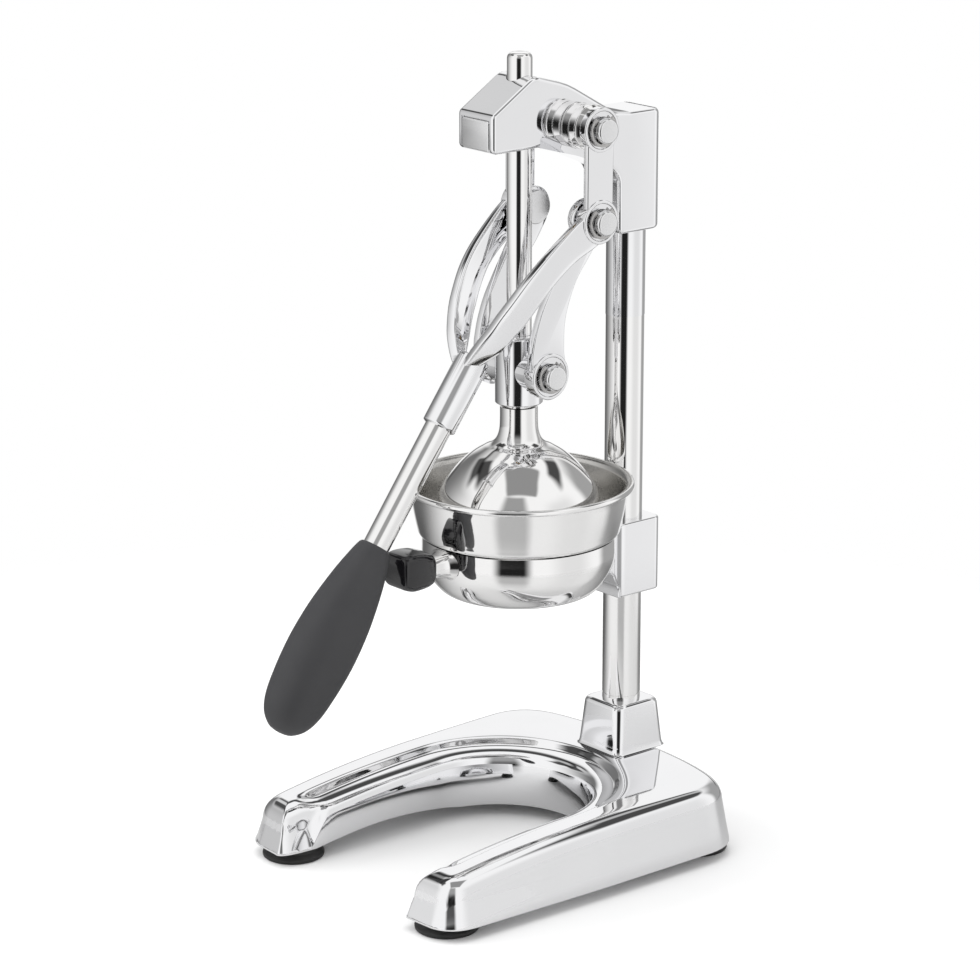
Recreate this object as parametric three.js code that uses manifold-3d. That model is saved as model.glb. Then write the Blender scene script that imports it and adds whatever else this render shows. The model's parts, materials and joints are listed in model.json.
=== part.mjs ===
// Lever citrus juice press, standing on a horseshoe base.
// Millimetres, +Z up. The press axis is x = 0, y = 0, the floor is z = 0 and the lever faces -Y.
// Every sub-part is one closed solid. Pieces that touch keep a gap of GAP between their faces.

import * as THREE from 'three';
import { mergeVertices } from 'three/addons/utils/BufferGeometryUtils.js';
import Module from 'manifold-3d';

const wasm = await Module();
wasm.setup();

// Driving dimensions

const GAP = 0.3;
const OVERCUT = 5;
const CLEAR_X = 60;
const TINY_ROUND = 0.6;
const SMALL_ROUND = 1.4;
const BOLT_SIDES = 6;
const SMALL_SIDES = 12;
const COARSE = 14;
const MEDIUM = 20;
const GRIP_SIDES = 24;
const FINE = 28;
const CUP_SIDES = 36;
const SEAT_SIDES = 84;

const COLUMN = { r: 11, y: 78.2, footZ: 16, topZ: 402, chamfer: 1 };

const BASE = {
  halfWidth: 95.2, footZ: 7, crestZ: 43, rearY: 101, toeY: -128, toeWidth: 19, legTaper: 2.3, toeInset: 5,
  innerR: 53, innerY: -15, legY: -104, fallStartY: 20, fallEndY: -97, fall: 7.5, draft: 4.5, edgeR: 11,
  stepWidth: 16.5, stepDepth: 11, stepEndY: -94, toeSolidY: -111, arch: 4.8, leastRise: 1,
  rearBow: 8, rearHandle: 15, sideStart: 40, toeOuterBow: 4, toeOuterTip: 1.2, toeInnerBow: 1,
};
const FALL_POWER = 2.2;
// Step inside the horseshoe, from the top to the wall: share of its width, share of its depth
const stepShares = [
  [1.05, 0], [0.97, 0.06], [0.79, 0.31], [0.7, 0.365], [0.5, 0.41], [0.29, 0.49], [0.14, 0.62], [0.05, 0.8],
  [0, 1],
];
const REAR_STEPS = 14;
const LEG_STEPS = 7;
const TOE_STEPS = 15;
const rearHandleShares = [0.45, 0.74];
const skinShare = 0.48;
const stepShare = 0.42;

const FOOT = {
  r: 17.5, neckR: 14, stemR: 4, stemZ: 17, frontX: 69, frontY: -108.7, rearX: 69, rearY: 75,
  soleInset: 2, flareZ: 1.2, flareInset: 0.8, rimZ: 3, waistZ: 5.2,
};
const SOCKET = { half: 16.4, footHalf: 18.6, topZ: 72, cornerR: 5.5, footRise: 1.4, lipRise: 2.4, lipInset: 0.6 };
// Crown of the socket: distance below its top and inset of its side
const SOCKET_CROWN = [[3.4, 0], [1.4, 0.7], [0.4, 2], [0, 3.4]];
const BOLT = {
  shankR: 4, headR: 7, headZ: 8, headHeight: 3, washerR: 9.5, washerHeight: 1, tipZ: 36, pocketGap: 1,
};

const HEAD = {
  halfWidth: 15.2, noseY: -31, backY: 92, bottomZ: 349.5, boreTopZ: 403, crestZ: 444.6, edge: 2.2,
  rearCornerR: 6, cornerSteps: 5, screwZ: 380,
};
// Side view of the head from the nose along its underside and back over the crest: y, z, radius
const HEAD_CORNERS = [
  [HEAD.noseY, 405, 3.4], [2, 405.2, 3], [32, 396.9, 50], [59.6, 385.2, 11], [60, HEAD.bottomZ, 3.4],
  [HEAD.backY, HEAD.bottomZ, 3.4], [HEAD.backY, 417.3, 4], [68, 417.4, 14], [57, 418.6, 10],
  [22, 438.2, 50], [-1.5, HEAD.crestZ, 10], [HEAD.noseY, 425.8, 3.4],
];
// Shallow hollow in each side of the head under the spacers: y, z, radius
const HOLLOW_CORNERS = [[1.7, 385], [1.7, 411, 1], [48, 411, 8], [48, 385]];
const HOLLOW_DEPTH = 2.5;
const PLATE = { halfWidth: 11.2, bottomZ: 406.4, topZ: 423, depth: 1.2 };
const BUSH = { r: 10, height: 13, lowerZ: 406.5, upperZ: 423 };
const SCREW = { r: 3, keyR: 1.5, keyDepth: 1.6, sink: 0.6 };

const PIN_R = 7;
const FULCRUM = { y: 28.4, z: 414.9 };
const MIDDLE = { y: 28.4, z: 364.3 };
const LOWER = { y: 0, z: 280.7 };
const EYE_FACE_X = 35.8;
const PIN_END_X = 41.7;
const PIN_HEAD = { r: 9.6, edgeR: 9, height: 2.1, edge: 0.6 };
const ARM = { innerX: 30.8, outerX: 34.8, halfDepth: 9.4, eyeR: 12.3, middleInnerX: 29 };
const ARM_STEPS = 10;
// Spacer between the head and an arm: radius and distance from the press's middle
const SPACER_ROWS = [
  [12.7, 17], [12.2, 17.6], [12.2, 25.8], [12.8, 26.4], [12.8, 27.6], [10.6, ARM.innerX - GAP],
];
const CLIP = { r: 9.2, thickness: 1.2, grooveR: 5.4, innerR: 7.4 };
const CLIP_MOUTH = 38;
const LUG_OFFSET = 14;
const LUG_HALF_ANGLE = 15;
const CLIP_OUTER_STEPS = 16;
const CLIP_INNER_STEPS = 20;
const LINK = { innerX: 20.5, outerX: 25.5, bossX: 27.2, upperR: 11.5, lowerR: 13, bossR: 8.4 };
// Edges of a link between its eyes: y, z, from the upper eye down at the front and up at the back
const LINK_FRONT = [[15.4, 352.4], [8.7, 340.5], [1.8, 329], [-4.8, 317], [-9.2, 305], [-11.6, 294]];
const LINK_BACK = [[11, 293], [11.4, 308], [14.5, 320], [20.4, 332.7], [30.5, 345.6], [37.4, 356]];
const LINK_STEPS = 12;

// The bars' outer half width against the distance below the middle pivot, along BAR_LEAN
const BAR_SPREAD = [
  [-14, 34.8], [4, 34.8], [12, 34.2], [25, 32.8], [40, 31.2], [53, 28.8], [65, 25.6], [74, 22.6], [82, 19.2],
  [89, 15.2], [95, 10], [100, 5.4], [103, 1.5],
];
const BAR_TIP = [99, 0.5];
const BAR = { thickness: 4.6, reach: 100, stockX: 60 };
// Side view of the bars, from the middle eyes to the handle's socket: y, z, radius
const BAR_CORNERS = [
  [19, 378, 6], [13.4, 365.6, 10], [0.1, 355, 20], [-19.7, 335, 60], [-31.5, 318, 60], [-39.3, 303, 8],
  [-42.5, 292, 4], [-36, 287, 4], [-27, 296.5, 10], [-12.3, 316.6, 60], [8.3, 341.6, 60], [24, 350, 8],
  [38, 359, 6], [37.8, 378, 6],
];
const BAR_LEAN = THREE.MathUtils.degToRad(43);
const TILT = THREE.MathUtils.degToRad(36.4);
const HANDLE_TOP = { y: -32.1, z: 291 };
const HANDLE = {
  socketR: 9.6, socketLength: 36, socketRise: 0.5, rimInset: 2, rimDrop: 2, throatR: 7.9, throatLength: 7,
  tenonR: 6, tenonStart: 10, tenonReach: 60, rodR: 7.5, rodTaper: 0.1, coreR: 5, coreLength: 70,
  gripStart: 116.5, gripOverlap: 6, gripEnd: 229.5,
};
// Grip: radius and distance down the handle
const GRIP_ROWS = [
  [8.2, HANDLE.gripStart], [9, 118], [12.1, 126], [14.1, 135.5], [16.1, 146.3], [17.7, 157.1], [18.7, 168],
  [19.15, 178.8], [18.9, 189.6], [18.1, 200.2], [16.9, 211], [14.9, 218], [11.8, 223.5], [7.2, 227.5],
  [0, HANDLE.gripEnd],
];

const ROD = { r: 7, topZ: 455.8, bottomZ: 290, domeR: 3, domeSteps: 4 };
const CROSSHEAD = { sleeveR: 13.4, bottomZ: 262, topZ: 300, neckR: 11, edge: 1.2, halfLength: 20.2, pinR: 6 };
// Barrel of the crosshead: radius and distance in from its end
const BARREL_ROWS = [[11, 0], [11.5, 0.5], [11.5, 2.4], [10.3, 3.6]];
const CONE = { neckTopZ: 259.6, neckR: 10.65, studR: 5, studTopZ: 272 };
// Bell: radius and height, down the outside and up the inside
const BELL_ROWS = [
  [CONE.neckR, CONE.neckTopZ], [11.65, 244], [14, 239.5], [19.5, 236.4], [25.5, 232.6], [35.4, 223.4],
  [40.5, 217.2], [43.6, 211.8], [45.2, 206], [45.5, 201], [44.9, 200], [42.9, 200], [42.6, 206], [41, 211],
  [38, 216], [33.2, 221.7], [23.8, 230], [12, 235.4], [0, 237],
];

const BOWL = { r: 54.5, topZ: 186.1, depth: 32.6, wall: 2.4, bottomR: 38, outletR: 20 };
// Outside of the bowl: radius and distance below its top
const BOWL_ROWS = [
  [BOWL.r, 0], [BOWL.r, 10.1], [53.9, 14.6], [52.5, 18.1], [49, 25.1], [46.6, 28.1], [44, 30.6], [41, 32.1],
  [BOWL.bottomR, BOWL.depth],
];
const SEAT_GAP = 0.4;
const CUP = { floorR: 46, floorZ: BOWL.topZ + SEAT_GAP, wall: 2.2 };
// Cup: radius and height above its floor, up the outside, over the rim and down the inside
const CUP_ROWS = [
  [CUP.floorR, 0], [52.5, 0], [55.2, 0.8], [57, 4], [59, 11.5], [61, 23.5], [61.4, 26.6], [63.9, 27],
  [64.7, 28.2], [64.4, 29.4], [63.4, 30.2], [62.1, 30], [59.6, 27.6], [58.8, 23.5], [56.8, 11.5],
  [54.8, 5.3], [53, CUP.wall], [CUP.floorR, CUP.wall], [CUP.floorR, 0],
];
const STRAINER = { slots: 10, slotLength: 24, slotWidth: 3, slotHeight: 17, slotX: 38, slotRise: 15 };
// Strainer cone: radius and height above the cup's floor, up the outside and down the inside
const STRAINER_ROWS = [
  [52, 0], [52, 1.6], [44.5, 1.6], [41, 4.5], [39, 9], [37.5, 17], [31, 28], [21, 36.5], [8, 42.5], [0, 43.3],
  [0, 41.5], [7.6, 40.7], [20, 34.9], [29.6, 26.9], [35.7, 16.5], [37.2, 8.6], [39.4, 3.2], [43.8, 0], [52, 0],
];
const GRIP = { rootY: -66, endY: -89.5, drop: 7.1, tailR: 5, tailStart: 2, tailEnd: 10, axisDrop: 1 };
// Neck of the bowl's handle: y, half width, half height, corner radius
const NECK_ROWS = [
  [-46, 14, 9, 8], [-54, 12, 8, 7], [-57.5, 8.6, 6.6, 5.6], [-61, 7.4, 6, 5], [GRIP.rootY + GAP, 7.2, 5.8, 4.8],
];
// Grip of the bowl's handle: y, half width, lowest and highest reach, corner radius
const KNOB_ROWS = [
  [GRIP.rootY - GAP, 8.5, -6.5, 7.5, 5], [-67.6, 10, -8, 8.8, 5], [-74, 11, -9.6, 10.6, 5],
  [-81, 11.2, -9.8, 11.2, 5], [-86.5, 10.8, -8, 10.8, 5], [-88.5, 9.6, -6.6, 9.6, 4.5],
  [GRIP.endY, 7.6, -4.6, 7.6, 4],
];
const BRACKET = { backY: 95, depthBelow: 48.1, dropBelow: 4.7, screwDrop: 26.1, stockX: 40 };
// Plan of the bracket: x, y, radius, mirrored from the right half
const BRACKET_PLAN = [[25, 36], [25, 50], [15.4, 62, 14], [15.4, BRACKET.backY, 6]];
// Front of the bracket in side view: y, distance below the bowl's top, radius
const BRACKET_FRONT = [[30, 20.1], [48, 28.1, 10], [61.5, 42.1, 8], [61.5, 47.1, 2], [64.5, 48.1]];

// Materials

const metal = (color, roughness) => () => new THREE.MeshStandardMaterial({ color, roughness, metalness: 1 });
const plastic = (color, roughness) => () => new THREE.MeshStandardMaterial({ color, roughness, metalness: 0 });
const polished = metal(0xe8e8ea, 0.06);
const satin = metal(0xb9babd, 0.3);
const darkSteel = metal(0x4b4b4e, 0.35);
const bronze = metal(0xa98252, 0.4);
const rubber = plastic(0x151516, 0.7);
const softGrip = plastic(0x3f3f42, 0.6);
const glossBlack = plastic(0x2a292d, 0.15);

// Geometry helpers

const rad = THREE.MathUtils.degToRad;

// Vertices of a corner list [u, v, radius], with each round drawn as a tangent arc
function rounded(corners, stepDegrees = 18) {
  const points = [];
  corners.forEach(([u, v, radius = 0], i) => {
    const corner = new THREE.Vector2(u, v);
    if (!radius) {
      points.push(corner);
      return;
    }
    const [pu, pv] = corners[(i + corners.length - 1) % corners.length];
    const [nu, nv] = corners[(i + 1) % corners.length];
    const before = new THREE.Vector2(pu, pv).sub(corner).normalize();
    const after = new THREE.Vector2(nu, nv).sub(corner).normalize();
    const half = before.angleTo(after) / 2;
    const centre = corner.clone().addScaledVector(before.clone().add(after).normalize(), radius / Math.sin(half));
    const start = corner.clone().addScaledVector(before, radius / Math.tan(half)).sub(centre);
    const turn = (Math.PI - 2 * half) * Math.sign(before.cross(after)) * -1;
    const steps = Math.max(1, Math.ceil(Math.abs(turn) / rad(stepDegrees)));
    for (let k = 0; k <= steps; k += 1) {
      points.push(start.clone().rotateAround(new THREE.Vector2(), (turn * k) / steps).add(centre));
    }
  });
  return points;
}

const toPoints = (pairs) => pairs.map(([u, v]) => new THREE.Vector2(u, v));

function arc(centreU, centreV, radius, fromDegrees, toDegrees, steps) {
  return Array.from({ length: steps + 1 }, (_, k) => {
    const angle = rad(fromDegrees + ((toDegrees - fromDegrees) * k) / steps);
    return new THREE.Vector2(centreU + radius * Math.cos(angle), centreV + radius * Math.sin(angle));
  });
}

// Revolve of [radius, z] points round the Z axis
function revolve(profile, sides = FINE) {
  const geometry = new THREE.LatheGeometry(profile.map(([r, z]) => new THREE.Vector2(r, z)), sides);
  return geometry.rotateX(Math.PI / 2);
}

// Revolve of [radius, x] points round the X axis, moved to (y, z)
function revolveX(profile, { y, z }, sides = COARSE) {
  return revolve(profile, sides).rotateY(Math.PI / 2).translate(0, y, z);
}

const cylinderZ = (r, z0, z1, x = 0, y = 0, sides = MEDIUM) => (
  revolve([[0, z0], [r, z0], [r, z1], [0, z1]], sides).translate(x, y, 0));
const cylinderX = (r, x0, x1, at, sides = COARSE) => revolveX([[0, x0], [r, x0], [r, x1], [0, x1]], at, sides);
const cylinderY = (r, y0, y1, z, sides = COARSE) => (
  revolve([[0, y0], [r, y0], [r, y1], [0, y1]], sides).rotateX(-Math.PI / 2).translate(0, 0, z));

// Turns a shape drawn in x and y, and pulled along z, into one drawn in y and z and pulled along x
const SIDE_VIEW = new THREE.Matrix4().makeBasis(
  new THREE.Vector3(0, 1, 0), new THREE.Vector3(0, 0, 1), new THREE.Vector3(1, 0, 0));

// Extrude of a (y, z) outline from x0 to x1, with its edges rounded off by bevel
function extrudeX(outline, x0, x1, bevel = 0) {
  const geometry = new THREE.ExtrudeGeometry(new THREE.Shape(outline), {
    depth: x1 - x0 - 2 * bevel,
    bevelEnabled: bevel > 0,
    bevelThickness: bevel,
    bevelSize: bevel,
    bevelOffset: -bevel,
    bevelSegments: 2,
    curveSegments: 1,
  });
  return geometry.translate(0, 0, x0 + bevel).applyMatrix4(SIDE_VIEW);
}

// Pulls a plan outline up from z0 to z1
function upright(outline, z0, z1) {
  return new THREE.ExtrudeGeometry(new THREE.Shape(outline), { depth: z1 - z0, bevelEnabled: false })
    .translate(0, 0, z0);
}

function signedVolume(positions, indices) {
  const corners = [new THREE.Vector3(), new THREE.Vector3(), new THREE.Vector3()];
  let volume = 0;
  for (let i = 0; i < indices.length; i += 3) {
    corners.forEach((corner, k) => corner.fromArray(positions, 3 * indices[i + k]));
    volume += corners[0].dot(corners[1].cross(corners[2]));
  }
  return volume;
}

// Welds a closed geometry, drops its empty triangles and turns its faces outwards
function weld(geometry) {
  const bare = geometry.clone();
  bare.deleteAttribute('normal');
  bare.deleteAttribute('uv');
  const merged = mergeVertices(bare, 1e-4);
  const positions = merged.attributes.position.array;
  const kept = [];
  for (let i = 0; i < merged.index.count; i += 3) {
    const [a, b, c] = [0, 1, 2].map((k) => merged.index.getX(i + k));
    if (a !== b && b !== c && a !== c) kept.push(a, b, c);
  }
  if (signedVolume(positions, kept) < 0) kept.reverse();
  return { positions: new Float32Array(positions), indices: new Uint32Array(kept) };
}

function solid(geometry) {
  const { positions, indices } = weld(geometry);
  return new wasm.Manifold(new wasm.Mesh({ numProp: 3, vertProperties: positions, triVerts: indices }));
}

function geometryOf(positions, indices) {
  const geometry = new THREE.BufferGeometry();
  geometry.setAttribute('position', new THREE.BufferAttribute(positions, 3));
  geometry.setIndex(new THREE.BufferAttribute(indices, 1));
  const flat = geometry.toNonIndexed();
  flat.computeVertexNormals();
  return flat;
}

function closed(geometry) {
  const { positions, indices } = weld(geometry);
  return geometryOf(positions, indices);
}

function surface(body) {
  const { vertProperties, triVerts } = body.getMesh();
  return geometryOf(vertProperties, triVerts);
}

const join = (first, ...rest) => rest.reduce((sum, next) => sum.add(solid(next)), solid(first));
const cut = (body, ...tools) => tools.reduce((rest, tool) => rest.subtract(solid(tool)), body);

// Skin over equal rings of points, with a fan of faces on the first and the last ring
function loft(rings) {
  const count = rings[0].length;
  const middle = (ring) => ring.reduce((sum, p) => sum.add(p), new THREE.Vector3()).divideScalar(count);
  const vertices = [...rings.flat(), middle(rings[0]), middle(rings.at(-1))];
  const indices = [];
  rings.slice(1).forEach((_, r) => {
    for (let k = 0; k < count; k += 1) {
      const a = r * count + k;
      const b = r * count + ((k + 1) % count);
      indices.push(a, b, b + count, a, b + count, a + count);
    }
  });
  const last = (rings.length - 1) * count;
  for (let k = 0; k < count; k += 1) {
    const next = (k + 1) % count;
    indices.push(rings.length * count, next, k);
    indices.push(rings.length * count + 1, last + k, last + next);
  }
  const geometry = new THREE.BufferGeometry().setFromPoints(vertices);
  geometry.setIndex(indices);
  return geometry;
}

function mesh(name, geometry, material) {
  const piece = new THREE.Mesh(geometry, material());
  piece.name = name;
  return piece;
}

const SIDES = [['left', -1], ['right', 1]];

// The same piece for the other side of the plane x = 0
function mirrored(geometry) {
  return closed(geometry.clone().scale(-1, 1, 1));
}

const onSide = (geometry, side) => (side > 0 ? geometry : mirrored(geometry));

// Base

// Height of the base's crest: level at the rear, falling along the legs
function baseTop(y) {
  const { crestZ, fallStartY, fallEndY, fall } = BASE;
  return crestZ - fall * Math.max(0, (fallStartY - y) / (fallStartY - fallEndY)) ** FALL_POWER;
}

// Height of the outer skin above its foot, at a distance inside the outline
function skinRise(inset, height) {
  const { draft, edgeR } = BASE;
  if (inset < draft) return ((height - edgeR) * inset) / draft;
  if (inset > draft + edgeR) return height;
  return height - edgeR + Math.sqrt(edgeR ** 2 - (draft + edgeR - inset) ** 2);
}

// Distance from a point to a chain of points
function reachTo(line, at) {
  return Math.min(...line.slice(1).map((end, i) => {
    const run = end.clone().sub(line[i]);
    const share = at.clone().sub(line[i]).dot(run) / run.lengthSq();
    return run.multiplyScalar(THREE.MathUtils.clamp(share, 0, 1)).add(line[i]).distanceTo(at);
  }));
}

// Half of the horseshoe in plan, from the middle of the rear to the tip of the right toe
function horseshoeHalf() {
  const { halfWidth, rearY, innerR, innerY, legY, toeY, toeWidth } = BASE;
  const [nearShare, farShare] = rearHandleShares;
  const legOuterX = halfWidth - BASE.legTaper;
  const tipX = (legOuterX + innerR) / 2 - BASE.toeInset;
  const outer = [
    [new THREE.Path().moveTo(0, rearY), REAR_STEPS, (p) => {
      p.quadraticCurveTo(nearShare * halfWidth, rearY, farShare * halfWidth, rearY - BASE.rearBow);
      p.quadraticCurveTo(halfWidth, rearY - BASE.rearHandle, halfWidth, rearY - BASE.sideStart);
      p.lineTo(halfWidth, innerY);
    }],
    [new THREE.Path().moveTo(halfWidth, innerY), LEG_STEPS, (p) => p.lineTo(legOuterX, legY)],
    [new THREE.Path().moveTo(legOuterX, legY), TOE_STEPS, (p) => (
      p.quadraticCurveTo(legOuterX, toeY + BASE.toeOuterBow, tipX + toeWidth / 2, toeY + BASE.toeOuterTip))],
  ];
  const inner = [
    [new THREE.Path().moveTo(0, innerY + innerR), REAR_STEPS, (p) => (
      p.absarc(0, innerY, innerR, Math.PI / 2, 0, true))],
    [new THREE.Path().moveTo(innerR, innerY), LEG_STEPS, (p) => p.lineTo(innerR, legY)],
    [new THREE.Path().moveTo(innerR, legY), TOE_STEPS, (p) => (
      p.quadraticCurveTo(innerR, toeY + BASE.toeInnerBow, tipX - toeWidth / 2, toeY))],
  ];
  const walk = (runs) => runs.flatMap(([path, steps, draw], i) => {
    draw(path);
    return path.getSpacedPoints(steps).slice(i ? 1 : 0);
  });
  const innerPoints = walk(inner);
  return walk(outer).map((point, i) => [point, innerPoints[i]]);
}

// Section across a leg: drafted outer wall, round edge, flat top, and the step down to the inner wall.
// The skin's height follows the distance from the outline, so that the round runs on about the toe.
function baseSection(outer, inner, side, outerLine, innerLine) {
  const { footZ, draft, edgeR, legY, leastRise } = BASE;
  const { smoothstep, lerp, clamp } = THREE.MathUtils;
  const width = outer.distanceTo(inner);
  const across = inner.clone().sub(outer).normalize();
  const solidity = smoothstep(-outer.y, -BASE.stepEndY, -BASE.toeSolidY);
  const skin = Math.min(draft + edgeR, skinShare * width);
  const step = Math.min(BASE.stepWidth, stepShare * width);
  const point = (d, depthShare) => {
    const at = outer.clone().addScaledVector(across, d);
    const height = baseTop(at.y) - footZ;
    const stepped = height - BASE.stepDepth * depthShare;
    const solidRise = skinRise(reachTo(innerLine, at), height);
    const inside = lerp(stepped, solidRise, solidity);
    const rise = Math.min(skinRise(reachTo(outerLine, at), height), inside);
    return new THREE.Vector3(side * at.x, at.y, footZ + Math.max(leastRise, rise));
  };
  const archShare = Math.sin(Math.PI * clamp(inner.y / legY, 0, 1));
  const own = [0, draft, ...[30, 60, 90].map((a) => draft + edgeR * (1 - Math.cos(rad(a))))];
  return [
    new THREE.Vector3(side * outer.x, outer.y, footZ),
    ...own.map((d) => point((d * skin) / (draft + edgeR), 0)),
    ...stepShares.map(([widthShare, depthShare]) => point(width - step * widthShare, depthShare)),
    new THREE.Vector3(side * inner.x, inner.y, footZ + BASE.arch * archShare),
  ];
}

function baseCasting() {
  const half = horseshoeHalf();
  const innerLine = half.map(([, inner]) => inner);
  const outerLine = [...half.map(([outer]) => outer), innerLine.at(-1)];
  const section = (side) => ([outer, inner]) => baseSection(outer, inner, side, outerLine, innerLine);
  const right = half.map(section(1)).reverse();
  const left = half.slice(1).map(section(-1));
  const seatZ = BOLT.headZ + BOLT.headHeight + BOLT.washerHeight + GAP;
  const below = BASE.footZ - OVERCUT;
  const body = cut(
    join(loft([...right, ...left])),
    cylinderZ(COLUMN.r + GAP, COLUMN.footZ - GAP, BASE.crestZ + OVERCUT, 0, COLUMN.y),
    cylinderZ(BOLT.shankR + GAP, below, COLUMN.footZ + OVERCUT, 0, COLUMN.y, COARSE),
    cylinderZ(BOLT.washerR + BOLT.pocketGap, below, seatZ, 0, COLUMN.y),
    ...footPlaces().map(([, x, y]) => cylinderZ(FOOT.stemR + GAP, below, FOOT.stemZ + GAP, x, y, SMALL_SIDES)),
  );
  return mesh('base_casting', surface(body), polished);
}

function footPlaces() {
  return SIDES.flatMap(([word, side]) => [
    [`foot_front_${word}`, side * FOOT.frontX, FOOT.frontY],
    [`foot_rear_${word}`, side * FOOT.rearX, FOOT.rearY],
  ]);
}

function feet() {
  const { r, neckR, stemR, stemZ } = FOOT;
  const top = BASE.footZ - GAP;
  const profile = [
    [0, 0], [r - FOOT.soleInset, 0], [r, FOOT.flareZ], [r - FOOT.flareInset, FOOT.rimZ],
    [neckR + TINY_ROUND, FOOT.waistZ], [neckR, top], [stemR, top], [stemR, stemZ], [0, stemZ],
  ];
  return footPlaces().map(([name, x, y]) => {
    const foot = mesh(name, closed(revolve(profile, MEDIUM)), rubber);
    foot.position.set(x, y, 0);
    return foot;
  });
}

// Square collar at the foot of the column, flared at the base and crowned at the top
function columnSocket() {
  const { half, footHalf, topZ, cornerR, footRise, lipRise, lipInset } = SOCKET;
  const bottom = BASE.crestZ + GAP;
  const levels = [
    [bottom, footHalf], [bottom + footRise, footHalf], [bottom + lipRise, footHalf - lipInset],
    ...SOCKET_CROWN.map(([drop, inset]) => [topZ - drop, half - inset]),
  ];
  const rings = levels.map(([z, h]) => rounded(
    [[-h, -h, cornerR], [h, -h, cornerR], [h, h, cornerR], [-h, h, cornerR]], 23,
  ).map((p) => new THREE.Vector3(p.x, p.y + COLUMN.y, z)));
  const bore = cylinderZ(COLUMN.r + GAP, 0, topZ + OVERCUT, 0, COLUMN.y);
  return mesh('column_socket', surface(cut(join(loft(rings)), bore)), polished);
}

function column() {
  const { r, footZ, topZ, chamfer } = COLUMN;
  const holeR = BOLT.shankR + GAP;
  const holeTop = BOLT.tipZ + GAP;
  const profile = [
    [0, holeTop], [holeR, holeTop], [holeR, footZ], [r, footZ], [r, topZ - chamfer],
    [r - chamfer, topZ], [0, topZ],
  ];
  const piece = mesh('column', closed(revolve(profile, MEDIUM)), polished);
  piece.position.y = COLUMN.y;
  return piece;
}

// Hexagon bolt from below that draws the column down on the base, with its washer
function columnBolt() {
  const { shankR, headR, headZ, headHeight, washerR, washerHeight, tipZ } = BOLT;
  const headTop = headZ + headHeight;
  const hexagon = revolve([[0, headZ], [headR, headZ], [headR, headTop], [0, headTop]], BOLT_SIDES);
  const shank = cylinderZ(shankR, headZ, tipZ, 0, 0, COARSE);
  const bolt = mesh('column_bolt', surface(join(hexagon, shank)), satin);
  const washer = mesh('column_washer', closed(revolve([
    [shankR + GAP, headTop + GAP], [washerR, headTop + GAP],
    [washerR, headTop + washerHeight], [shankR + GAP, headTop + washerHeight],
    [shankR + GAP, headTop + GAP],
  ], COARSE)), satin);
  bolt.position.y = COLUMN.y;
  washer.position.y = COLUMN.y;
  return [bolt, washer];
}

// Head

function headCasting() {
  const { halfWidth, noseY, bottomZ, backY, crestZ } = HEAD;
  const recess = [
    [noseY - OVERCUT, PLATE.bottomZ - GAP], [noseY + PLATE.depth, PLATE.bottomZ - GAP],
    [noseY + PLATE.depth, PLATE.topZ + GAP], [noseY - OVERCUT, PLATE.topZ + GAP],
  ];
  const hollow = extrudeX(rounded(HOLLOW_CORNERS), halfWidth - HOLLOW_DEPTH, halfWidth + OVERCUT);
  const body = cut(
    join(extrudeX(rounded(HEAD_CORNERS, 14), -halfWidth, halfWidth, HEAD.edge)),
    cylinderZ(ROD.r + GAP, bottomZ, crestZ + OVERCUT),
    cylinderZ(BUSH.r + GAP, bottomZ, BUSH.upperZ + BUSH.height + GAP),
    cylinderZ(COLUMN.r + GAP, bottomZ - OVERCUT, HEAD.boreTopZ, 0, COLUMN.y),
    cylinderX(PIN_R + GAP, -CLEAR_X, CLEAR_X, FULCRUM),
    cylinderY(SCREW.r + GAP, COLUMN.y, backY + OVERCUT, HEAD.screwZ),
    extrudeX(toPoints(recess), -PLATE.halfWidth - GAP, PLATE.halfWidth + GAP),
    ...SIDES.flatMap(([, side]) => [onSide(hollow, side), rearCornerCutter(side, HEAD.rearCornerR)]),
  );
  return mesh('head_casting', surface(body), polished);
}

// What a round of the given radius takes off the upright rear edge of the head
function rearCornerCutter(side, radius) {
  const x = side * HEAD.halfWidth;
  const outline = [
    new THREE.Vector2(x + side * OVERCUT, HEAD.backY + OVERCUT),
    new THREE.Vector2(x - side * radius, HEAD.backY + OVERCUT),
    ...arc(x - side * radius, HEAD.backY - radius, radius, 90, side > 0 ? 0 : 180, HEAD.cornerSteps),
    new THREE.Vector2(x + side * OVERCUT, HEAD.backY - radius),
  ];
  return upright(outline, HEAD.bottomZ - OVERCUT, HEAD.crestZ + OVERCUT);
}

function nosePlate() {
  const { halfWidth, bottomZ, topZ, depth } = PLATE;
  const front = HEAD.noseY;
  const back = front + depth - GAP;
  const outline = toPoints([[front, bottomZ], [back, bottomZ], [back, topZ], [front, topZ]]);
  return mesh('nose_plate', closed(extrudeX(outline, -halfWidth, halfWidth)), satin);
}

// Grub screw that locks a casting on the column, sunk in its threaded hole
function setScrew(name, backY, z) {
  const end = backY - SCREW.sink;
  const body = cut(
    join(cylinderY(SCREW.r, COLUMN.y + COLUMN.r + GAP, end, z, SMALL_SIDES)),
    cylinderY(SCREW.keyR, end - SCREW.keyDepth, end + OVERCUT, z, BOLT_SIDES),
  );
  return mesh(name, surface(body), darkSteel);
}

function plungerBushes() {
  const inside = ROD.r + GAP;
  return [['lower', BUSH.lowerZ], ['upper', BUSH.upperZ]].map(([word, z]) => {
    const top = z + BUSH.height;
    const ring = revolve([[inside, z], [BUSH.r, z], [BUSH.r, top], [inside, top], [inside, z]], MEDIUM);
    return mesh(`plunger_bush_${word}`, closed(ring), bronze);
  });
}

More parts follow.
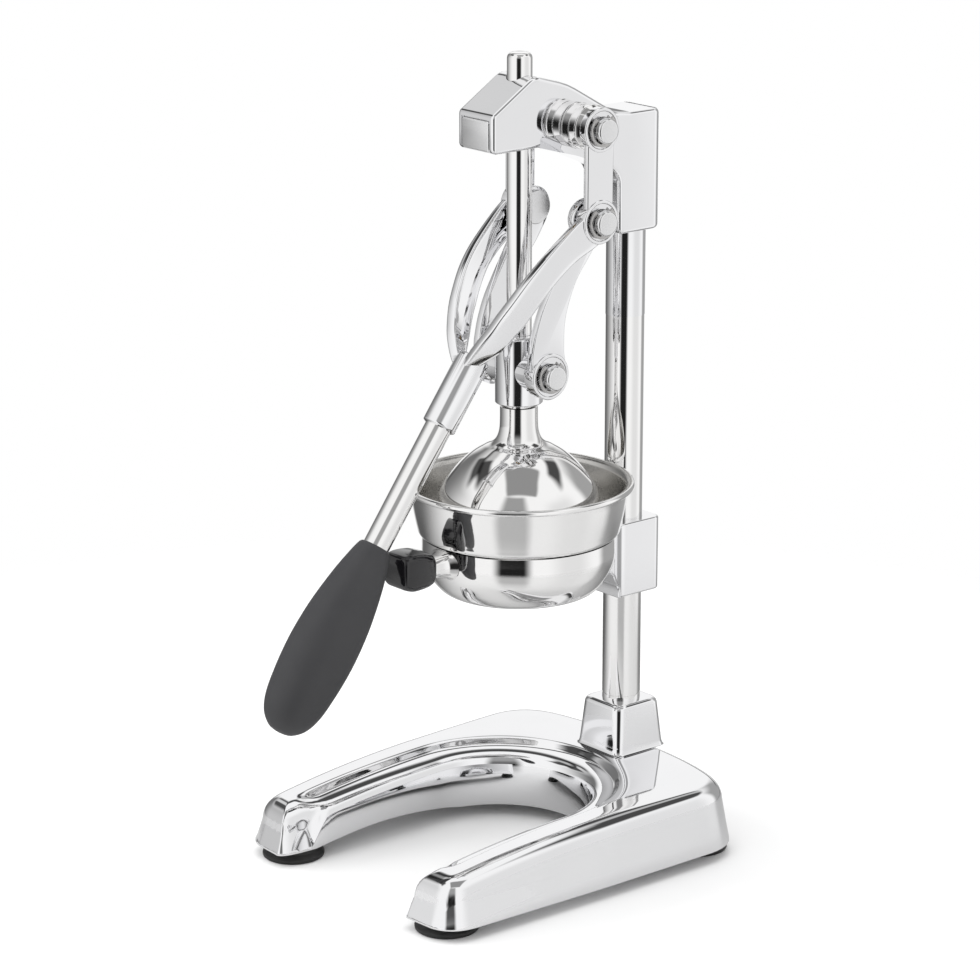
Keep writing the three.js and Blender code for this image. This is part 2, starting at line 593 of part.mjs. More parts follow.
// Pin along X from x0, with the groove of its clip beside faceX and a button end at x1
function pinProfile(x0, faceX, x1) {
  const grooveStart = faceX + GAP;
  const grooveEnd = grooveStart + CLIP.thickness + 2 * GAP;
  return [
    [0, x0], [PIN_R, x0], [PIN_R, grooveStart], [CLIP.grooveR, grooveStart], [CLIP.grooveR, grooveEnd],
    [PIN_R, grooveEnd], [PIN_R, x1 - SMALL_ROUND], [PIN_R - SMALL_ROUND, x1], [0, x1],
  ];
}

// Spring clip: a ring open at the top, with three lugs that reach into the groove
function clipGeometry(faceX, at) {
  const start = CLIP_MOUTH;
  const end = 360 - CLIP_MOUTH;
  const lugs = [start + LUG_OFFSET, (start + end) / 2, end - LUG_OFFSET];
  const inner = Array.from({ length: CLIP_INNER_STEPS + 1 }, (_, k) => {
    const angle = end + ((start - end) * k) / CLIP_INNER_STEPS;
    const isLug = lugs.some((lug) => Math.abs(angle - lug) < LUG_HALF_ANGLE);
    return arc(0, 0, isLug ? CLIP.grooveR + GAP : CLIP.innerR, angle, angle, 1)[0];
  });
  const outline = [...arc(0, 0, CLIP.r, start, end, CLIP_OUTER_STEPS), ...inner];
  const shape = new THREE.Shape(outline.map((p) => new THREE.Vector2(p.y, p.x)));
  const geometry = new THREE.ExtrudeGeometry(shape, { depth: CLIP.thickness, bevelEnabled: false });
  return geometry.applyMatrix4(SIDE_VIEW).translate(faceX + 2 * GAP, at.y, at.z);
}

function fulcrum() {
  const half = pinProfile(0, EYE_FACE_X, PIN_END_X).slice(1);
  const whole = [...half.map(([r, x]) => [r, -x]).reverse(), ...half];
  const axle = mesh('fulcrum_axle', closed(revolveX(whole, FULCRUM)), satin);
  const bore = PIN_R + GAP;
  const inner = HEAD.halfWidth + GAP;
  const spacer = revolveX([
    [bore, inner], [SPACER_ROWS[0][0], inner], ...SPACER_ROWS, [bore, SPACER_ROWS.at(-1)[1]], [bore, inner],
  ], FULCRUM, MEDIUM);
  const clip = clipGeometry(EYE_FACE_X, FULCRUM);
  return [axle, ...SIDES.flatMap(([word, side]) => [
    mesh(`fulcrum_spacer_${word}`, closed(onSide(spacer, side)), polished),
    mesh(`fulcrum_clip_${word}`, closed(onSide(clip, side)), darkSteel),
  ])];
}

// Lever

// Front view of the right bar, drawn across x and along the lean, as a block for both sides
function barSpread() {
  const outer = toPoints(BAR_SPREAD.map(([s, x]) => [x, s]));
  const inner = toPoints(BAR_SPREAD.slice(0, -3).map(([s, x]) => [
    Math.min(ARM.innerX, x - BAR.thickness), s]).reverse());
  const tip = new THREE.Vector2(BAR_TIP[1], BAR_TIP[0]);
  return SIDES.map(([, side]) => {
    const shape = new THREE.Shape([...outer, tip, ...inner].map((p) => new THREE.Vector2(side * p.x, -p.y)));
    return new THREE.ExtrudeGeometry(shape, { depth: 2 * BAR.reach, bevelEnabled: false })
      .translate(0, 0, -BAR.reach)
      .rotateX(Math.PI / 2 - BAR_LEAN)
      .translate(0, MIDDLE.y, MIDDLE.z);
  });
}

function leverYoke() {
  const eyes = [
    cylinderX(ARM.eyeR, ARM.innerX, EYE_FACE_X, FULCRUM, MEDIUM),
    cylinderX(ARM.eyeR, ARM.middleInnerX, EYE_FACE_X, MIDDLE, MEDIUM),
  ];
  const front = FULCRUM.y - ARM.halfDepth;
  const back = FULCRUM.y + ARM.halfDepth;
  const waist = toPoints([[front, FULCRUM.z], [front, MIDDLE.z], [back, MIDDLE.z], [back, FULCRUM.z]]);
  const bars = solid(extrudeX(rounded(BAR_CORNERS, 12), -BAR.stockX, BAR.stockX));
  const { socketR, socketLength, socketRise, rimInset, rimDrop, throatR, throatLength } = HANDLE;
  const end = -socketLength - throatLength;
  const socket = alongHandle(revolve([
    [0, socketRise], [socketR - rimInset, socketRise], [socketR, -rimDrop], [socketR, -socketLength],
    [throatR, end], [0, end],
  ], MEDIUM));
  const tenonR = HANDLE.tenonR + GAP;
  const tenonHole = [
    [0, -HANDLE.tenonStart], [tenonR, -HANDLE.tenonStart], [tenonR, -HANDLE.tenonReach], [0, -HANDLE.tenonReach],
  ];
  const arms = SIDES.flatMap(([, side]) => (
    [extrudeX(waist, ARM.innerX, ARM.outerX), ...eyes].map((piece) => solid(onSide(piece, side)))));
  const whole = [...barSpread().map((half) => bars.intersect(solid(half))), ...arms]
    .reduce((sum, next) => sum.add(next), solid(socket));
  const yoke = cut(
    whole, cylinderX(PIN_R + GAP, -CLEAR_X, CLEAR_X, FULCRUM), cylinderX(PIN_R + GAP, -CLEAR_X, CLEAR_X, MIDDLE),
    alongHandle(revolve(tenonHole, COARSE)),
  );
  return mesh('lever_yoke', surface(yoke), polished);
}

// Puts a shape made round the Z axis on the handle's axis, with its -Z end down the handle
function alongHandle(geometry) {
  return geometry.rotateX(-TILT).translate(0, HANDLE_TOP.y, HANDLE_TOP.z);
}

function handleRod() {
  const { socketLength, throatLength, tenonR, rodR, rodTaper, coreR, coreLength, gripStart, gripOverlap } = HANDLE;
  const tenonEnd = -HANDLE.tenonStart - GAP;
  const shoulder = -socketLength - throatLength - GAP;
  const coreStart = -gripStart - gripOverlap;
  const coreEnd = -gripStart - coreLength;
  const profile = [
    [0, tenonEnd], [tenonR, tenonEnd], [tenonR, shoulder], [rodR + rodTaper, shoulder],
    [rodR - rodTaper, coreStart], [coreR, coreStart], [coreR, coreEnd], [0, coreEnd],
  ];
  return mesh('handle_rod', closed(alongHandle(revolve(profile, MEDIUM))), polished);
}

function handleGrip() {
  const { rodR, coreR, coreLength, gripStart, gripOverlap } = HANDLE;
  const coreEnd = -gripStart - coreLength - GAP;
  const coreStart = -gripStart - gripOverlap - GAP;
  const bore = [
    [0, coreEnd], [coreR + GAP, coreEnd], [coreR + GAP, coreStart], [rodR + GAP, coreStart],
    [rodR + GAP, -gripStart],
  ];
  const outside = GRIP_ROWS.map(([r, s]) => [r, -s]);
  return mesh('handle_grip', closed(alongHandle(revolve([...bore, ...outside], GRIP_SIDES))), softGrip);
}

function links() {
  const { innerX, outerX, bossX, upperR, lowerR, bossR } = LINK;
  const outline = [
    ...arc(MIDDLE.y, MIDDLE.z, upperR, -30, 200, LINK_STEPS), ...toPoints(LINK_FRONT),
    ...arc(LOWER.y, LOWER.z, lowerR, 160, 380, LINK_STEPS), ...toPoints(LINK_BACK),
  ];
  const plate = join(
    extrudeX(outline, innerX, outerX),
    cylinderX(bossR, innerX, ARM.middleInnerX - GAP, MIDDLE),
    cylinderX(lowerR, innerX, bossX, LOWER, MEDIUM),
  );
  const body = cut(plate, cylinderX(PIN_R + GAP, 0, CLEAR_X, MIDDLE), cylinderX(PIN_R + GAP, 0, CLEAR_X, LOWER));
  const headless = pinProfile(innerX, bossX, bossX + PIN_END_X - EYE_FACE_X);
  const neck = innerX - GAP;
  const headed = [
    [0, neck - PIN_HEAD.height], [PIN_HEAD.edgeR, neck - PIN_HEAD.height],
    [PIN_HEAD.r, neck - PIN_HEAD.height + PIN_HEAD.edge], [PIN_HEAD.r, neck],
    ...pinProfile(neck, EYE_FACE_X, PIN_END_X).slice(1),
  ];
  return SIDES.flatMap(([word, side]) => [
    mesh(`link_${word}`, closed(onSide(surface(body), side)), polished),
    mesh(`middle_pin_${word}`, closed(onSide(revolveX(headed, MIDDLE), side)), satin),
    mesh(`middle_clip_${word}`, closed(onSide(clipGeometry(EYE_FACE_X, MIDDLE), side)), darkSteel),
    mesh(`lower_pin_${word}`, closed(onSide(revolveX(headless, LOWER), side)), satin),
    mesh(`lower_clip_${word}`, closed(onSide(clipGeometry(bossX, LOWER), side)), darkSteel),
  ]);
}

// Plunger

function plungerRod() {
  const { r, topZ, bottomZ, domeR, domeSteps } = ROD;
  const dome = arc(r - domeR, topZ - domeR, domeR, 0, 90, domeSteps).map((p) => [p.x, p.y]);
  return mesh('plunger_rod', closed(revolve([[0, bottomZ], [r, bottomZ], ...dome, [0, topZ]], MEDIUM)), polished);
}

// Upright sleeve with a short barrel across it for the links' pins
function crosshead() {
  const { sleeveR, bottomZ, topZ, neckR, edge, halfLength, pinR } = CROSSHEAD;
  const end = BARREL_ROWS.map(([r, inset]) => [r, halfLength - inset]);
  const barrel = [
    [0, -halfLength], ...end.map(([r, x]) => [r, -x]), ...end.toReversed(), [0, halfLength],
  ];
  const sleeve = revolve([
    [0, CONE.neckTopZ + GAP], [neckR, CONE.neckTopZ + GAP], [sleeveR, bottomZ], [sleeveR, topZ - edge],
    [sleeveR - edge, topZ], [0, topZ],
  ], MEDIUM);
  const body = cut(
    join(revolveX(barrel, LOWER, MEDIUM), sleeve),
    cylinderZ(ROD.r + GAP, ROD.bottomZ - GAP, topZ + OVERCUT),
    cylinderZ(CONE.studR + GAP, CONE.neckTopZ - OVERCUT, CONE.studTopZ + GAP, 0, 0, COARSE),
    cylinderX(pinR + GAP, -CLEAR_X, CLEAR_X, LOWER),
  );
  const pin = cylinderX(pinR, GAP - halfLength, halfLength - GAP, LOWER);
  return [mesh('crosshead', surface(body), polished), mesh('crosshead_pin', closed(pin), satin)];
}

// Bell that presses the fruit, with the stud that screws into the crosshead
function pressCone() {
  const { neckTopZ, studR, studTopZ } = CONE;
  const profile = [[0, studTopZ], [studR, studTopZ], [studR, neckTopZ], ...BELL_ROWS];
  return mesh('press_cone', closed(revolve(profile)), polished);
}

// Cup, bowl and bracket

// Outside of the bowl, with its radii and depths grown by a margin
function bowlWall(grow) {
  return BOWL_ROWS.map(([r, depth]) => {
    const share = depth / BOWL.depth;
    return [r + grow * (1 - share), BOWL.topZ - depth - grow * share];
  });
}

function lowerBowl() {
  const { outletR, topZ, depth, wall } = BOWL;
  const outside = bowlWall(0);
  const profile = [
    ...outside, [outletR, topZ - depth], [outletR, topZ - depth + wall], ...bowlWall(-wall).reverse(), outside[0],
  ];
  return mesh('lower_bowl', closed(revolve(profile)), polished);
}

const aboveCupFloor = (rows) => rows.map(([r, height]) => [r, CUP.floorZ + height]);

function strainerCup() {
  return mesh('strainer_cup', closed(revolve(aboveCupFloor(CUP_ROWS), CUP_SIDES)), polished);
}

// Reamer dome in the cup, with drain slots round its lower half
function strainerCone() {
  const { slots, slotLength, slotWidth, slotHeight, slotX, slotRise } = STRAINER;
  const floor = CUP.wall + GAP;
  const dome = revolve(aboveCupFloor(STRAINER_ROWS.map(([r, height]) => [r, floor + height])));
  const body = cut(solid(dome), ...Array.from({ length: slots }, (_, k) => (
    new THREE.BoxGeometry(slotLength, slotWidth, slotHeight)
      .translate(slotX, 0, CUP.floorZ + floor + slotRise)
      .rotateZ((2 * Math.PI * (k + 0.5)) / slots))));
  return mesh('strainer_cone', surface(body), satin);
}

// Ring of points round a rounded rectangle at y, between two heights
function gripRing(y, halfWidth, z0, z1, cornerR) {
  const corners = [
    [-halfWidth, z0, cornerR], [halfWidth, z0, cornerR], [halfWidth, z1, cornerR], [-halfWidth, z1, cornerR]];
  return rounded(corners, 30).map((p) => new THREE.Vector3(p.x, y, p.y));
}

// Room round the bowl, open at the top, with a margin
function bowlSpace(margin, rise, sides) {
  const top = BOWL.topZ + rise;
  return revolve([
    ...bowlWall(margin), [0, BOWL.topZ - BOWL.depth - margin], [0, top], [BOWL.r + margin, top],
    [BOWL.r + margin, BOWL.topZ],
  ], sides);
}

function bowlHandle() {
  const { rootY, endY, drop, tailR, tailStart, tailEnd, axisDrop } = GRIP;
  const z = BOWL.topZ - drop;
  const axisZ = z - axisDrop;
  const flare = loft(NECK_ROWS.map(([y, w, h, r]) => gripRing(y, w, axisZ - h, axisZ + h, r)));
  const tail = cylinderY(tailR, endY + tailEnd, rootY + tailStart, axisZ);
  const stub = cut(join(flare, tail), bowlSpace(GAP, OVERCUT, FINE));
  const knob = cut(
    join(loft(KNOB_ROWS.map(([y, w, low, high, r]) => gripRing(y, w, z + low, z + high, r)))),
    cylinderY(tailR + GAP, endY + tailEnd - GAP, rootY + OVERCUT, axisZ),
  );
  return [
    mesh('bowl_handle_stub', surface(stub), polished), mesh('bowl_handle_grip', surface(knob), glossBlack)];
}

// Bracket clamped on the column; its hollow front seats the bowl
function cupBracket() {
  const { backY, depthBelow, dropBelow, stockX } = BRACKET;
  const bottomZ = BOWL.topZ - depthBelow;
  const topZ = BOWL.topZ - dropBelow;
  const screwZ = BOWL.topZ - BRACKET.screwDrop;
  const plan = rounded([...BRACKET_PLAN.map(([x, y, r]) => [-x, y, r]).toReversed(), ...BRACKET_PLAN], 20);
  const front = BRACKET_FRONT.map(([y, depth, r]) => [y, BOWL.topZ - depth, r]);
  const sideView = rounded([
    [backY + OVERCUT, bottomZ], [backY + OVERCUT, topZ], [front[0][0], topZ], ...front,
  ], 20);
  const body = cut(
    solid(upright(plan, bottomZ, topZ)).intersect(solid(extrudeX(sideView, -stockX, stockX))),
    bowlSpace(SEAT_GAP, OVERCUT, SEAT_SIDES),
    cylinderZ(COLUMN.r + GAP, bottomZ - OVERCUT, topZ + OVERCUT, 0, COLUMN.y),
    cylinderY(SCREW.r + GAP, COLUMN.y, backY + OVERCUT, screwZ),
  );
  return [mesh('cup_bracket', surface(body), polished), setScrew('bracket_set_screw', backY, screwZ)];
}

// The whole press, moved so that the middle of its footprint is the origin

const press = new THREE.Group();
press.add(
  baseCasting(), ...feet(), columnSocket(), column(), ...columnBolt(),
  headCasting(), nosePlate(), setScrew('head_set_screw', HEAD.backY, HEAD.screwZ), ...plungerBushes(),
  ...fulcrum(), leverYoke(), handleRod(), handleGrip(), ...links(), plungerRod(), ...crosshead(), pressCone(),
  ...cupBracket(), lowerBowl(), strainerCup(), strainerCone(), ...bowlHandle(),
);
const footprint = new THREE.Box3().setFromObject(press).getCenter(new THREE.Vector3());
press.position.set(-footprint.x, -footprint.y, 0);

export default press;
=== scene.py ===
# %% [markdown]
# # A lever press for citrus fruit
#
# The press stands on a heavy horseshoe casting. A round column carries a crest-shaped head,
# and a forked lever works a plunger through two links. The plunger carries a bell that
# presses half a fruit on a strainer in a cup. Nearly all of it is polished metal, so the
# lesson is about two things: clean rounded forms, and a studio for them to mirror.

# %% The frame
import json
import math

import bmesh
import bpy
from mathutils import Matrix, Vector


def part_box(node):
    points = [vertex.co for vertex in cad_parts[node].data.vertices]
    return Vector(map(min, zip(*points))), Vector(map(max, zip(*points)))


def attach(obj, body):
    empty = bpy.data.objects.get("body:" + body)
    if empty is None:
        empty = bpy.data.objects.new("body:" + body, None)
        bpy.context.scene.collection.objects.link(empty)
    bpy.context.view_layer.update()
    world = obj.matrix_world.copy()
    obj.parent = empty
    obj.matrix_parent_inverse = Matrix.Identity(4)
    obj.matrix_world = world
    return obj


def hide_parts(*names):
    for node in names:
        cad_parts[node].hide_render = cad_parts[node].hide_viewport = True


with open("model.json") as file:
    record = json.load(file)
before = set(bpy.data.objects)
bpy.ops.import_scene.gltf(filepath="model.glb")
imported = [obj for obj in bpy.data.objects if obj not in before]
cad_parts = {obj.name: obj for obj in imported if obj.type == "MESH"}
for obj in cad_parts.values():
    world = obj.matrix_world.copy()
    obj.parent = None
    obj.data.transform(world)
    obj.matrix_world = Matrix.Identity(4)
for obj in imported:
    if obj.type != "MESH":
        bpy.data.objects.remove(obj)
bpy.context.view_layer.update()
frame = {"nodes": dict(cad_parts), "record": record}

# %% [markdown]
# ## Measures
#
# All sizes below are in millimetres from the press axis, because a maker's drawing of this
# press would use them. One helper turns such a place into metres in the frame's own axes.

# %% Places
MM = 0.001
rod_low, rod_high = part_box("plunger_rod")
AXIS = Vector(((rod_low.x + rod_high.x) / 2, (rod_low.y + rod_high.y) / 2, 0))
X_AXIS = Vector((1, 0, 0))
Z_AXIS = Vector((0, 0, 1))


def spot(x, y, z):
    """A place given in millimetres from the press axis, in metres in the frame."""
    return AXIS + Vector((x, y, z)) * MM


print("press axis", tuple(AXIS))

# %% [markdown]
# ## The camera
#
# The camera comes first, so that each piece can be judged in the photograph's own view. It
# looks down on the press from its right front, from two metres away, through a long lens.

# %% Camera
CAMERA_AZIMUTH = math.radians(50.18)
CAMERA_ELEVATION = math.radians(16.07)
CAMERA_DISTANCE = 2001.7
AIM_Z, AIM_RIGHT, AIM_UP = 200, -16.0, 10.1
FOCAL_PIXELS = 3588.6
FRAME_PIXELS = 980
SENSOR = 36.0
NEAREST, FARTHEST = 0.1, 20

look = Vector((
    -math.sin(CAMERA_AZIMUTH) * math.cos(CAMERA_ELEVATION),
    math.cos(CAMERA_AZIMUTH) * math.cos(CAMERA_ELEVATION),
    -math.sin(CAMERA_ELEVATION),
))
right = Vector((math.cos(CAMERA_AZIMUTH), math.sin(CAMERA_AZIMUTH), 0))
up = right.cross(look)
aim = spot(0, 0, AIM_Z) + (right * AIM_RIGHT + up * AIM_UP) * MM

camera_data = bpy.data.cameras.new("camera")
camera_data.sensor_width = SENSOR
camera_data.lens = SENSOR * FOCAL_PIXELS / FRAME_PIXELS
camera_data.clip_start = NEAREST
camera_data.clip_end = FARTHEST
camera = bpy.data.objects.new("camera", camera_data)
bpy.context.scene.collection.objects.link(camera)
camera.location = aim - look * CAMERA_DISTANCE * MM
camera.rotation_euler = look.to_track_quat("-Z", "Y").to_euler()
bpy.context.scene.camera = camera
print("lens", round(camera_data.lens, 2))

# %% [markdown]
# ## Starting and settling a piece
#
# Each piece starts as a primitive, is shaped in edit mode and is then settled: doubles are
# welded, faces turned outwards and the shading made smooth. Operators act on all that is
# selected, so one piece is selected alone first. A finished piece is handed in with the body
# that it rides on, its finish and the nodes of the frame that it stands for.

# %% Handling
SMOOTH = 32
WELD = 1e-6


def start(name, add, **settings):
    """Adds a primitive with nothing else selected, and names it."""
    bpy.ops.object.select_all(action="DESELECT")
    add(**settings)
    piece = bpy.context.active_object
    piece.name = name
    piece.data.name = name
    return piece


def alone(piece):
    """Makes a piece the only one selected, and the active one."""
    bpy.ops.object.select_all(action="DESELECT")
    bpy.context.view_layer.objects.active = piece
    piece.select_set(True)


def editing(piece):
    """Opens a piece for editing, with all of its mesh selected."""
    alone(piece)
    bpy.ops.object.mode_set(mode="EDIT")
    bpy.ops.mesh.select_mode(type="VERT")
    bpy.ops.mesh.select_all(action="SELECT")


def settled(piece, smooth=SMOOTH):
    """Welds the open piece, turns its faces outwards, closes it and shades it smooth."""
    bpy.ops.mesh.select_all(action="SELECT")
    bpy.ops.mesh.remove_doubles(threshold=WELD)
    bpy.ops.mesh.normals_make_consistent(inside=False)
    bpy.ops.object.mode_set(mode="OBJECT")
    bpy.ops.object.shade_smooth_by_angle(angle=math.radians(smooth))
    return piece


made_pieces = []


def hand_in(piece, body, slot, *nodes):
    """Puts a finished piece on its body, with its finish's slot and the nodes it stands for."""
    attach(piece, body)
    if nodes:
        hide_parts(*nodes)
    made_pieces.append((piece, slot))
    print(piece.name, len(piece.data.polygons), "faces")


# %% [markdown]
# ## Curves on paper
#
# A casting starts as a few curves on paper. These helpers draw an arc or a bow, set points at
# even distances along a line, and lead a smooth curve through a few rows of numbers. Few rows
# are better than many, because a curve through many rows turns lumpy.

# %% Curves
def arc(centre, radius, start_angle, end_angle, count):
    """count + 1 points on a circle, between two angles in degrees."""
    sweep = end_angle - start_angle
    angles = [math.radians(start_angle + sweep * k / count) for k in range(count + 1)]
    return [Vector((centre[0] + radius * math.cos(a), centre[1] + radius * math.sin(a)))
            for a in angles]


def bow(a, b, c, count=40):
    """A quadratic curve from a to c with the handle b."""
    a, b, c = Vector(a), Vector(b), Vector(c)
    shares = [k / count for k in range(count + 1)]
    return [a * (1 - t) ** 2 + b * 2 * t * (1 - t) + c * t * t for t in shares]


def spaced(points, count):
    """count + 1 points at even distances along a chain of points."""
    lengths = [0.0]
    for a, b in zip(points, points[1:]):
        lengths.append(lengths[-1] + (b - a).length)
    made, k = [], 0
    for n in range(count + 1):
        target = lengths[-1] * n / count
        while k < len(points) - 2 and lengths[k + 1] < target:
            k += 1
        share = (target - lengths[k]) / max(lengths[k + 1] - lengths[k], 1e-9)
        made.append(points[k].lerp(points[k + 1], share))
    return made


def flowing(rows, count):
    """count + 1 rows on a smooth curve through the given rows of numbers."""
    made = []
    for n in range(count + 1):
        at = (len(rows) - 1) * n / count
        k = min(int(at), len(rows) - 2)
        t = at - k
        p0, p1, p2, p3 = (rows[max(0, min(len(rows) - 1, k + d))] for d in (-1, 0, 1, 2))
        made.append([
            b + 0.5 * t * (c - a + t * (2 * a - 5 * b + 4 * c - d + t * (3 * (b - c) + d - a)))
            for a, b, c, d in zip(p0, p1, p2, p3)
        ])
    return made


def eased(value, low, high):
    """0 below low, 1 above high, and a smooth step between them."""
    t = min(1.0, max(0.0, (value - low) / (high - low)))
    return t * t * (3 - 2 * t)


# %% [markdown]
# ## The base
#
# The real base is one polished casting in the shape of a horseshoe. It is drawn from above
# first: an outer and an inner line whose points go in step, from the middle of the rear along
# the right leg to its toe. The left half is the same line on the other side.

# %% Base plan
BASE = {
    "half_width": 95.2, "foot_z": 7.0, "crest_z": 43.0, "rear_y": 101.0, "toe_y": -128.0,
    "inner_r": 53.0, "inner_y": -15.0, "leg_y": -104.0, "leg_in": 2.3,
    # the toe: its width, how far its tip sits inwards, and its curves' handles
    "toe_width": 19.0, "tip_in": 5, "tip_lift": 1.2, "outer_handle": 4, "inner_handle": 1,
    # the outer skin: the wall's lean and the round into the top
    "draft": 4.5, "edge_r": 11.0, "edge_share": 0.48, "front_y": -60, "least_rise": 1.0,
    # the crest's fall along the legs
    "fall_start_y": 20.0, "fall_end_y": -97.0, "fall_depth": 7.5, "fall_power": 2.2,
    # the inner step, where it runs out on the toe, and the arch under the inner wall
    "step_width": 16.5, "step_share": 0.42, "step_depth": 11.0, "step_end_y": -94,
    "toe_solid_y": -111, "arch": 4.8,
}
# Rear curve's handles: share of the half width, distance in front of the rear
REAR_CURVE = [(0, 0), (0.45, 0), (0.74, 8), (1, 15), (1, 40)]
CURVE_STEPS, LEG_STEPS = 44, 24


def horseshoe():
    """Outer and inner plan points in step, from the rear's middle to the right toe."""
    b = BASE
    width, inner_x, leg_y, toe = b["half_width"], b["inner_r"], b["leg_y"], b["toe_y"]
    leg_x = width - b["leg_in"]
    tip_x = (leg_x + inner_x) / 2 - b["tip_in"]
    rear = [(share * width, b["rear_y"] - ahead) for share, ahead in REAR_CURVE]
    outer_leg = [Vector((width, b["inner_y"])), Vector((leg_x, leg_y))]
    inner_leg = [Vector((inner_x, b["inner_y"])), Vector((inner_x, leg_y))]
    outer_toe = bow((leg_x, leg_y), (leg_x, toe + b["outer_handle"]),
                    (tip_x + b["toe_width"] / 2, toe + b["tip_lift"]))
    inner_toe = bow((inner_x, leg_y), (inner_x, toe + b["inner_handle"]),
                    (tip_x - b["toe_width"] / 2, toe))
    outer_rear = bow(*rear[:3]) + bow(*rear[2:]) + outer_leg[:1]
    inner_rear = arc((0, b["inner_y"]), inner_x, 90, 0, CURVE_STEPS)
    lines = []
    for rear_run, leg_run, toe_run in ((outer_rear, outer_leg, outer_toe),
                                       (inner_rear, inner_leg, inner_toe)):
        lines.append(spaced(rear_run, CURVE_STEPS) + spaced(leg_run, LEG_STEPS)[1:]
                     + spaced(toe_run, CURVE_STEPS)[1:])
    return lines


outer_line, inner_line = horseshoe()
front_line = [*outer_line[CURVE_STEPS:], inner_line[-1]]
print("base plan", len(outer_line), "points a side")

# %% [markdown]
# The skin leans in a little and rolls over a large round into the top, and it does the same
# round each toe. So its height depends only on the distance from the outline, and one function
# can draw it. Along the inside runs a step, from a crisp line on the wall up a short riser to
# the top; on the toes the step runs out into the same round as outside.

# %% Base skin
# Inner step, from the wall up to the top: share of its width, share of its depth
STEP_SHARES = [(0, 1), (0.05, 0.80), (0.14, 0.62), (0.29, 0.49), (0.50, 0.41), (0.70, 0.365),
               (0.79, 0.31), (0.88, 0.185), (0.97, 0.06), (1.05, 0)]
EDGE_ANGLES = range(0, 91, 9)
WELL_INSIDE = 99
step_rows = flowing(STEP_SHARES, 36)


def base_top(y):
    """Height of the crest: level at the rear, falling along the legs."""
    start_y = BASE["fall_start_y"]
    fall = max(0.0, (start_y - y) / (start_y - BASE["fall_end_y"]))
    return BASE["crest_z"] - BASE["fall_depth"] * fall ** BASE["fall_power"]


def skin_rise(inset, height):
    """Height of the outer skin above the foot, at a distance inside the outline."""
    draft, edge = BASE["draft"], BASE["edge_r"]
    if inset < draft:
        return (height - edge) * inset / draft
    if inset < draft + edge:
        return height - edge + math.sqrt(edge ** 2 - (draft + edge - inset) ** 2)
    return height


def reach_to(line, at):
    """Distance from a point to a chain of points."""
    best = math.inf
    for a, b in zip(line, line[1:]):
        run = b - a
        share = min(1.0, max(0.0, (at - a).dot(run) / run.length_squared))
        best = min(best, (a + run * share - at).length)
    return best


# %% [markdown]
# One leg's section is a ring of points: up the outer wall, round its edge, across the top and
# down the inner step. All sections have the same count of points, so a grid fits over them.

# %% Base section
def base_section(outer, inner, side):
    """Ring round one section of a leg."""
    b = BASE
    draft, edge_r = b["draft"], b["edge_r"]
    width = (inner - outer).length
    across = (inner - outer).normalized()
    toe = eased(-outer.y, -b["step_end_y"], -b["toe_solid_y"])
    edge = min(draft + edge_r, b["edge_share"] * width)
    step = min(b["step_width"], b["step_share"] * width)

    def skin(d, own_inset, inner_height):
        at = outer + across * d
        height = base_top(at.y) - b["foot_z"]
        inset = reach_to(front_line, at) if at.y < b["front_y"] else own_inset
        rise = max(b["least_rise"], min(skin_rise(inset, height), inner_height(at, height)))
        return spot(side * at.x, at.y, b["foot_z"] + rise)

    def step_height(depth_share):
        def height_at(at, height):
            stepped = height - b["step_depth"] * depth_share
            if not toe:
                return stepped
            rounded_off = skin_rise(reach_to(inner_line[CURVE_STEPS:], at), height)
            return stepped * (1 - toe) + rounded_off * toe
        return height_at

    arch = b["arch"] * math.sin(math.pi * min(1.0, max(0.0, inner.y / b["leg_y"])))
    wall = [draft * k / 3 for k in range(3)]
    insets = wall + [draft + edge_r * (1 - math.cos(math.radians(a))) for a in EDGE_ANGLES]
    top = step_height(0)
    flat = width - edge - step * STEP_SHARES[-1][0]
    return [
        spot(side * outer.x, outer.y, b["foot_z"]),
        *[skin(d * edge / insets[-1], d, top) for d in insets],
        *[skin(edge + flat * share, WELL_INSIDE, top) for share in (0.25, 0.5, 0.75)],
        *[skin(width - step * w, WELL_INSIDE, step_height(drop))
          for w, drop in reversed(step_rows)],
        spot(side * inner.x, inner.y, b["foot_z"] + arch),
    ]


# %% [markdown]
# A grid whose rows are laid over the sections makes the casting, so its faces follow the
# legs and the bend at the rear.

# %% Base
def casting(name, rings, smooth=SMOOTH):
    """A casting of changing section: a grid laid over closed rings of points, in metres."""
    rings = [[*ring, ring[0]] for ring in rings]
    piece = start(name, bpy.ops.mesh.primitive_grid_add, size=1,
                  x_subdivisions=len(rings[0]) - 1, y_subdivisions=len(rings) - 1)
    order = sorted(piece.data.vertices, key=lambda v: (round(v.co.y, 5), v.co.x))
    places = [point for ring in rings for point in ring]
    if len(order) != len(places):
        raise ValueError(f"{name}: grid of {len(order)} for {len(places)} points")
    for vertex, place in zip(order, places):
        vertex.co = place
    editing(piece)
    bpy.ops.mesh.remove_doubles(threshold=WELD)
    bpy.ops.mesh.fill_holes(sides=0)
    return settled(piece, smooth)


half = list(zip(outer_line, inner_line))
right_half = [base_section(outer, inner, 1) for outer, inner in reversed(half)]
left_half = [base_section(outer, inner, -1) for outer, inner in half[1:]]
base = casting("base_body", right_half + left_half, smooth=40)
hand_in(base, "stand", "polished_casting", "base_casting")

# %% [markdown]
# ## Rounds and turning
#
# A turned piece is an outline of corners, each written with the radius of its round. It is
# drawn as a chain of edges and spun round an axis, as on a lathe.

# %% Turning
ROUND_STEP = math.radians(9)
FINE_STEP = math.radians(15)


